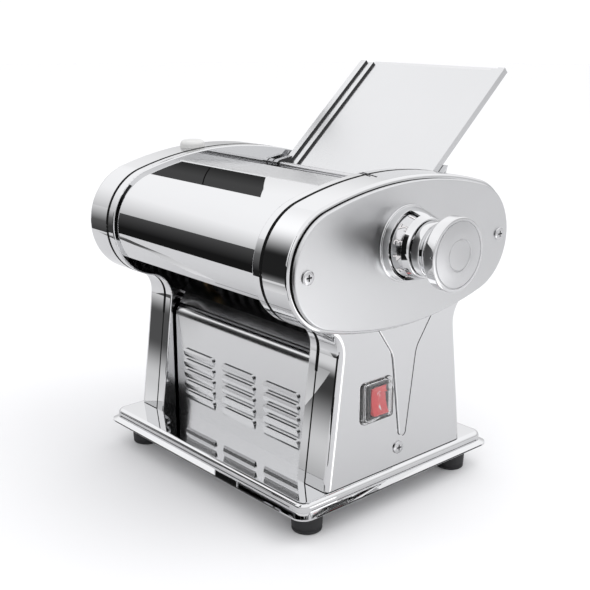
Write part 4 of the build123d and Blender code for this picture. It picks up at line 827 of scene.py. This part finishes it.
class PASTA_OT_boot(bpy.types.Operator):
    """Clear boot over the rocker"""

    bl_idname = "pasta.boot"
    bl_label = "Switch boot"

    def execute(self, context):
        wall = context.scene.pasta_trim.boot_wall / MM
        mesh = bmesh.new()

        def ring(x, width, height, radius):
            return [at(PEDESTAL_X + x, SWITCH[0] + y, SWITCH[1] + z)
                    for y, z in rounded_box(width, height, radius)]

        base_w, base_h, top_w, top_h = 22.9, 28.0, 15.5, 20.5
        outside = [ring(0.0, 31.0, 31.0, 4.0), ring(0.75, 31.0, 31.0, 4.0), ring(1.0, 30.5, 30.5, 3.8),
                   ring(1.0, base_w + 0.9, base_h + 0.9, 2.9), ring(1.25, base_w + 0.2, base_h + 0.2, 2.6),
                   ring(1.7, base_w, base_h, 2.5), ring(3.0, base_w, base_h, 2.5)]
        for share in (0.06, 0.5, 0.93):
            outside.append(ring(3.3 + 5.9 * share, base_w + (top_w - base_w) * share,
                                base_h + (top_h - base_h) * share, 2.5 - 0.5 * share))
        outside += [ring(9.08, top_w - 0.25, top_h - 0.25, 1.9), ring(9.2, top_w - 1.1, top_h - 1.1, 1.6),
                    ring(9.2, top_w - 5.0, top_h - 6.0, 1.2)]
        inside = [ring(9.2 - wall, top_w - 5.0, top_h - 6.0, 1.2),
                  ring(9.2 - wall, top_w - 2.6, top_h - 2.6, 1.2),
                  ring(8.7 - wall, top_w - 1.9, top_h - 1.9, 1.3)]
        for share in (0.5, 0.06):
            inside.append(ring(2.9 + 5.9 * share, base_w - 1.8 + (top_w - base_w) * share,
                               base_h - 1.8 + (top_h - base_h) * share, 1.8))
        inside += [ring(2.4, base_w - 1.8, base_h - 1.8, 1.8), ring(0.0, base_w - 1.8, base_h - 1.8, 1.8)]
        rings = loft(mesh, outside)
        mesh.faces.new(rings[-1])
        under = loft(mesh, list(reversed(inside)))
        mesh.faces.new(list(reversed(under[-1])))
        a, b = rings[0], under[0]
        for k in range(len(a)):
            n = (k + 1) % len(a)
            mesh.faces.new([a[n], a[k], b[k], b[n]])
        boot = finish_mesh("switch_boot_clear", mesh, ["boot"], 50.0)
        add(boot, "machine", "clear_boot", "switch_boot")
        return {"FINISHED"}


class PASTA_OT_feet(bpy.types.Operator):
    """Tapered rubber feet with a moulded groove and a screw recess"""

    bl_idname = "pasta.feet"
    bl_label = "Feet"

    def execute(self, context):
        groove = context.scene.pasta_trim.foot_groove / MM
        low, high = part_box("feet")
        mesh = bmesh.new()
        outline = rounded([(19.0, 2.1, 0), (9.5, 2.1, 0), (9.5, 5.0, 0.3), (0.0, 5.0, 0.5),
                           (0.0, 10.65, 1.4), (2.4, 10.78, 0.2), (2.7, 10.8 - groove, 0.2),
                           (3.2, 10.83 - groove, 0.2), (3.5, 10.85, 0.2), (18.2, 11.7, 0.5),
                           (19.0, 11.2, 0.2), (19.0, 2.1, 0)], 5)
        inset = 11.75
        for x in (low.x / MM + inset, high.x / MM - inset):
            for y in (low.y / MM + inset, high.y / MM - inset):
                turned(mesh, outline, round_z((x - BASE.x / MM, y - BASE.y / MM)), 72)
        feet = finish_mesh("feet_moulded", mesh, ["rubber"])
        add(feet, "machine", "black_rubber", "feet")
        return {"FINISHED"}


# ------------------------------------------------------------------ studio
EYE = (565.72, -501.04, 349.2)
VIEW_AZIMUTH, VIEW_ELEVATION = math.radians(48.4), math.radians(16.0)
CARD_REACH, CROWN_REACH = 300.0, 420.0
CARD_FOOT, ON_FLOOR = 2.0, 1.0
NOSE_STEP = 1.5


def mirrored(place, tilt, reach=CARD_REACH):
    """Where a ray from the camera ends after it is mirrored at a place, both in millimetres.

    The surface there faces the front, tilted up by some degrees. A card stops above the floor.
    """
    here = Vector(place)
    ray = (here - Vector(EYE)).normalized()
    normal = Vector((0, -math.cos(math.radians(tilt)), math.sin(math.radians(tilt))))
    away = ray - 2 * ray.dot(normal) * normal
    if away.z < 0:
        reach = min(reach, (here.z - CARD_FOOT) / -away.z)
    return here + away * reach


def nose(x, tilt):
    """Point on the front nose at a tilt of its normal."""
    angle = math.radians(tilt)
    return (x, NOSE_Y - NOSE_RADIUS * math.cos(angle), HEAD_Z + NOSE_RADIUS * math.sin(angle))


def around(x, y, reach, heading, z):
    """Point in millimetres at a reach and a heading in degrees from an upright line."""
    heading = math.radians(heading)
    return (x + reach * math.cos(heading), y + reach * math.sin(heading), z)


def card(name, rows, tones, easing="LINEAR", bounce=None):
    """Reflector card: rows of points in millimetres, toned from its first row to its last.

    With bounce 1 it is seen only in first reflections, with 2 only in reflections of reflections.
    """
    data = bpy.data.meshes.new(name)
    last, wide = len(rows) - 1, len(rows[0])
    faces = [(wide * k + i, wide * k + i + 1, wide * (k + 1) + i + 1, wide * (k + 1) + i)
             for k in range(last) for i in range(wide - 1)]
    data.from_pydata([at(*c) for row in rows for c in row], [], faces)
    layer = data.uv_layers.new(name="UVMap")
    for loop, uv in zip(data.loops, layer.data):
        uv.uv = ((loop.vertex_index % wide) / (wide - 1), (loop.vertex_index // wide) / last)
    made = bpy.data.objects.new(name, data)
    bpy.context.scene.collection.objects.link(made)
    paint = bpy.data.materials.new(name)
    paint.use_nodes = True
    paint.node_tree.nodes.clear()
    graph = Graph(paint.node_tree)
    split = graph.node("ShaderNodeSeparateXYZ", Vector=graph.node("ShaderNodeTexCoord").outputs["UV"])
    tone = graph.ramp(split.outputs["Y"], tones, easing)
    glow = graph.node("ShaderNodeEmission", Color=tone).outputs[0]
    if bounce:
        shown = graph.math("GREATER_THAN" if bounce == 2 else "LESS_THAN",
                           graph.node("ShaderNodeLightPath").outputs["Ray Depth"], 1.5)
        clear = graph.node("ShaderNodeBsdfTransparent").outputs[0]
        blend = graph.node("ShaderNodeMixShader")
        for socket, value in zip(blend.inputs, (shown, clear, glow)):
            graph.feed(socket, value)
        glow = blend.outputs[0]
    graph.node("ShaderNodeOutputMaterial", Surface=glow)
    data.materials.append(paint)
    made.visible_camera = made.visible_diffuse = made.visible_shadow = False
    made.visible_transmission = False


def floor_card(name, xs, ys, tones):
    """Card flat on the floor, toned from its first y to its last."""
    card(name, [[(x, y, ON_FLOOR) for x in xs] for y in ys], tones)


def nose_card(name, xs, low, high, tones, easing="LINEAR"):
    """Card seen in the front nose between two tilts and two places along it."""
    steps = max(2, int((high - low) / NOSE_STEP))
    tilts = [low + (high - low) * step / steps for step in range(steps + 1)]
    card(name, [[mirrored(nose(x, tilt), tilt) for x in xs] for tilt in tilts], tones, easing, bounce=1)


def pedestal_card(name, xs, tones):
    """Card seen in a pedestal's leaning front between two places across it."""
    slope = math.tan(math.radians(PEDESTAL_LEAN))
    card(name, [[mirrored((x, PEDESTAL_FRONT_Y + slope * (z - DECK_Z), z), PEDESTAL_LEAN) for x in xs]
                for z in range(30, 129, 7)], tones, "EASE", bounce=1)


class PASTA_OT_stage(bpy.types.Operator):
    """Camera, floor, soft light and reflector cards"""

    bl_idname = "pasta.stage"
    bl_label = "Stage"

    def camera(self, scene, stage):
        camera = bpy.data.objects.new("camera", bpy.data.cameras.new("camera"))
        scene.collection.objects.link(camera)
        scene.camera = camera
        camera.data.lens = stage.lens
        camera.data.sensor_width = 36.0
        camera.data.clip_start = 0.01
        back = Vector((math.sin(VIEW_AZIMUTH) * math.cos(VIEW_ELEVATION),
                       -math.cos(VIEW_AZIMUTH) * math.cos(VIEW_ELEVATION), math.sin(VIEW_ELEVATION)))
        camera.rotation_mode = "QUATERNION"
        camera.rotation_quaternion = (-back).to_track_quat("-Z", "Y")
        camera.location = at(*EYE)

    def sky(self, scene, stage):
        world = bpy.data.worlds.new("studio")
        scene.world = world
        world.use_nodes = True
        graph = Graph(world.node_tree)
        ray = graph.node("ShaderNodeTexCoord").outputs["Generated"]
        split = graph.node("ShaderNodeSeparateXYZ", Vector=ray)
        tone = graph.ramp(graph.span(split.outputs["Z"], -0.05, 1.0, 0.0, 1.0),
                          ((0.0, 0.62), (0.16, 0.66), (0.50, 1.21), (0.68, 1.26), (1.0, 1.18)))
        light = graph.node("ShaderNodeBackground", Color=tone, Strength=stage.sky)
        graph.feed(world.node_tree.nodes["World Output"].inputs["Surface"], light.outputs[0])

    def floor(self):
        bpy.ops.mesh.primitive_circle_add(vertices=96, radius=6.0, fill_type="NGON", location=(0, 0, 0))
        floor = bpy.context.object
        floor.name = "floor"
        paint = bpy.data.materials.new("floor")
        paint.use_nodes = True
        shader = paint.node_tree.nodes["Principled BSDF"]
        graph = Graph(paint.node_tree)
        mirrored_ray = graph.node("ShaderNodeLightPath").outputs["Is Glossy Ray"]
        graph.feed(shader.inputs["Base Color"], graph.mix(mirrored_ray, grey(0.86), grey(0.69)))
        shader.inputs["Roughness"].default_value = 0.9
        shader.inputs["Specular IOR Level"].default_value = 0.1
        floor.data.materials.append(paint)
        bpy.ops.mesh.primitive_cylinder_add(vertices=96, radius=5.9, depth=6.0, end_fill_type="NOTHING",
                                            location=(0, 0, 2.9))
        wall = bpy.context.object
        wall.name = "backdrop"
        pale = bpy.data.materials.new("backdrop")
        pale.use_nodes = True
        pale.node_tree.nodes.clear()
        graph = Graph(pale.node_tree)
        glow = graph.node("ShaderNodeEmission", Color=grey(1.0), Strength=1.05)
        graph.node("ShaderNodeOutputMaterial", Surface=glow.outputs[0])
        wall.data.materials.append(pale)
        wall.visible_diffuse = wall.visible_glossy = wall.visible_shadow = False
        wall.visible_transmission = False

    def lamp(self, scene, stage):
        lamp = bpy.data.lights.new("key", "AREA")
        lamp.shape, lamp.size, lamp.size_y, lamp.energy = "RECTANGLE", 1.2, 1.2, stage.key
        key = bpy.data.objects.new("key", lamp)
        scene.collection.objects.link(key)
        key.location = (0.9, 0.5, 1.5)
        key.rotation_mode = "QUATERNION"
        key.rotation_quaternion = (Vector((0, 0, 0.1)) - key.location).to_track_quat("-Z", "Y")
        key.visible_glossy = False

    def head_cards(self):
        """Dark bands round the noses of the front cover and both housings, below their bright tops"""
        cover = (-FRAME_X, FRAME_X)
        nose_card("card_cover", cover, -3.5, 17.5, ((0.3, 0.012), (1.0, 0.085)))
        nose_card("card_left_rim", (-RIM_X, -FRAME_X), -5.0, 19.0, ((0.3, 0.05), (0.65, 0.19), (1.0, 0.80)))
        nose_card("card_right_rim", (FRAME_X, RIM_X), -4.0, 28.0, ((0.15, 0.02), (0.6, 0.17), (1.0, 0.85)))
        nose_card("card_left_housing", (-124, -RIM_X), -6.0, 19.0, ((0.0, 0.055), (0.45, 0.13), (1.0, 0.85)))
        nose_card("card_right_housing", (RIM_X, 118), -14.0, 66.0,
                  ((0.0, 0.92), (0.20, 0.02), (0.40, 0.02), (0.72, 1.40), (1.0, 1.20)), "EASE")
        # charcoal card seen along the top of the front cover, cut off short of its right end
        crown = ((-82.0, 225.8, 72.3, 58), (-66.0, 230.6, 75.9, 43), (-50.5, 233.4, 79.3, 27))
        card("card_crown", [[mirrored((x, y, z), tilt, CROWN_REACH) for x in (-83, end)]
                            for y, z, tilt, end in crown], ((0.5, 0.075), (1.0, 0.03)))
        # thin line across the charcoal card
        line = ((-5.0, *crown[0][:3]), (-37.0, *crown[2][:3]))
        card("card_crown_line", [[mirrored((x + side, y, z), tilt, CROWN_REACH - 10) for side in (-0.7, 0.7)]
                                 for x, y, z, tilt in line], ((0.0, 0.006),))

    def low_cards(self):
        """Dark bands and lines on the pedestals and round the base"""
        pedestal_card("card_left_pedestal", (-113, -FRAME_X),
                      ((0.0, 0.97), (0.25, 0.80), (0.57, 0.10), (0.80, 0.10), (1.0, 0.92)))
        pedestal_card("card_right_pedestal", (FRAME_X, 113),
                      ((0.0, 0.54), (0.32, 0.80), (0.72, 0.06), (0.80, 0.06), (0.91, 0.90)))
        # dark lines under the front and right edges of the base, and a bright one up the right pedestal
        floor_card("card_bead_front", (-170, 70), (-124.2, -121.4), ((0.0, 0.04),))
        floor_card("card_bead_right", (147.4, 143.5), (-62, 138), ((0.0, 0.02),))
        card("card_pedestal_edge", [[around(113, -60, reach, heading, ON_FLOOR) for reach in (60, 470)]
                                    for heading in (6, 37)], ((0.0, 1.9),))
        # where the pale floor ends in front of the machine
        card("card_floor_end", [[(-1400, y, z), (120, y, z)] for y, z in
                                ((-405, 1), (-640, 1), (-900, 1), (-900, 110), (-900, 250))],
             ((0.0, 0.012), (1.0, 0.014)))

    def dial_cards(self):
        """Dark floor, wall and room round the dial, and the light on the satin cap"""
        floor_card("card_dial_floor", (116, 180), (-640, -265), ((0.0, 0.010), (0.85, 0.012), (1.0, 0.12)))
        card("card_dial_wall", [[(116, -300, z), (180, -300, z)] for z in (102, 470)],
             ((0.0, 0.008), (0.8, 0.012), (1.0, 0.16)))
        floor_card("card_cap", (1000, 480), (120, 740),
                   ((0.0, 1.75), (0.25, 1.60), (0.75, 0.62), (1.0, 0.55)))
        # seen by the knob in the end cap, from the floor up the walls behind the camera
        card("card_room", [[around(150, DIAL[0], reach, heading, z) for heading in range(-66, -5, 6)]
                           for reach, z in ((270, 1), (320, 1), (700, 1), (740, 60), (760, 420), (760, 860))],
             ((0.0, 0.10), (0.2, 0.006), (0.85, 0.006), (1.0, 0.05)), bounce=2)

    def execute(self, context):
        scene, stage = context.scene, context.scene.pasta_stage
        scene.view_settings.view_transform = "Standard"
        self.camera(scene, stage)
        self.sky(scene, stage)
        self.floor()
        self.lamp(scene, stage)
        self.head_cards()
        self.low_cards()
        self.dial_cards()
        return {"FINISHED"}


class PASTA_PT_panel(bpy.types.Panel):
    """Lists the settings and the operators"""

    bl_idname = "PASTA_PT_panel"
    bl_label = "Pasta Maker"
    bl_space_type = "VIEW_3D"
    bl_region_type = "UI"
    bl_category = "Pasta Maker"

    def draw(self, context):
        scene = context.scene
        for group in (scene.pasta_finish, scene.pasta_dial, scene.pasta_trim, scene.pasta_stage):
            for name in group.__annotations__:
                self.layout.prop(group, name)
        for operator in OPERATORS:
            self.layout.operator(operator.bl_idname)


GROUPS = (PastaFinishSettings, PastaDialSettings, PastaTrimSettings, PastaStageSettings)
OPERATORS = (PASTA_OT_finishes, PASTA_OT_dial_collar, PASTA_OT_number_drum, PASTA_OT_knob,
             PASTA_OT_screws, PASTA_OT_seals, PASTA_OT_vee_painted_shade, PASTA_OT_rocker, PASTA_OT_boot,
             PASTA_OT_feet, PASTA_OT_stage)


def register():
    for item in (*GROUPS, *OPERATORS, PASTA_PT_panel):
        bpy.utils.register_class(item)
    bpy.types.Scene.pasta_finish = PointerProperty(type=PastaFinishSettings)
    bpy.types.Scene.pasta_dial = PointerProperty(type=PastaDialSettings)
    bpy.types.Scene.pasta_trim = PointerProperty(type=PastaTrimSettings)
    bpy.types.Scene.pasta_stage = PointerProperty(type=PastaStageSettings)


def unregister():
    del bpy.types.Scene.pasta_stage
    del bpy.types.Scene.pasta_trim
    del bpy.types.Scene.pasta_dial
    del bpy.types.Scene.pasta_finish
    for item in reversed((*GROUPS, *OPERATORS, PASTA_PT_panel)):
        bpy.utils.unregister_class(item)


def main():
    register()
    for operator in OPERATORS:
        group, name = operator.bl_idname.split(".")
        getattr(getattr(bpy.ops, group), name)()


if __name__ == "__main__":
    main()
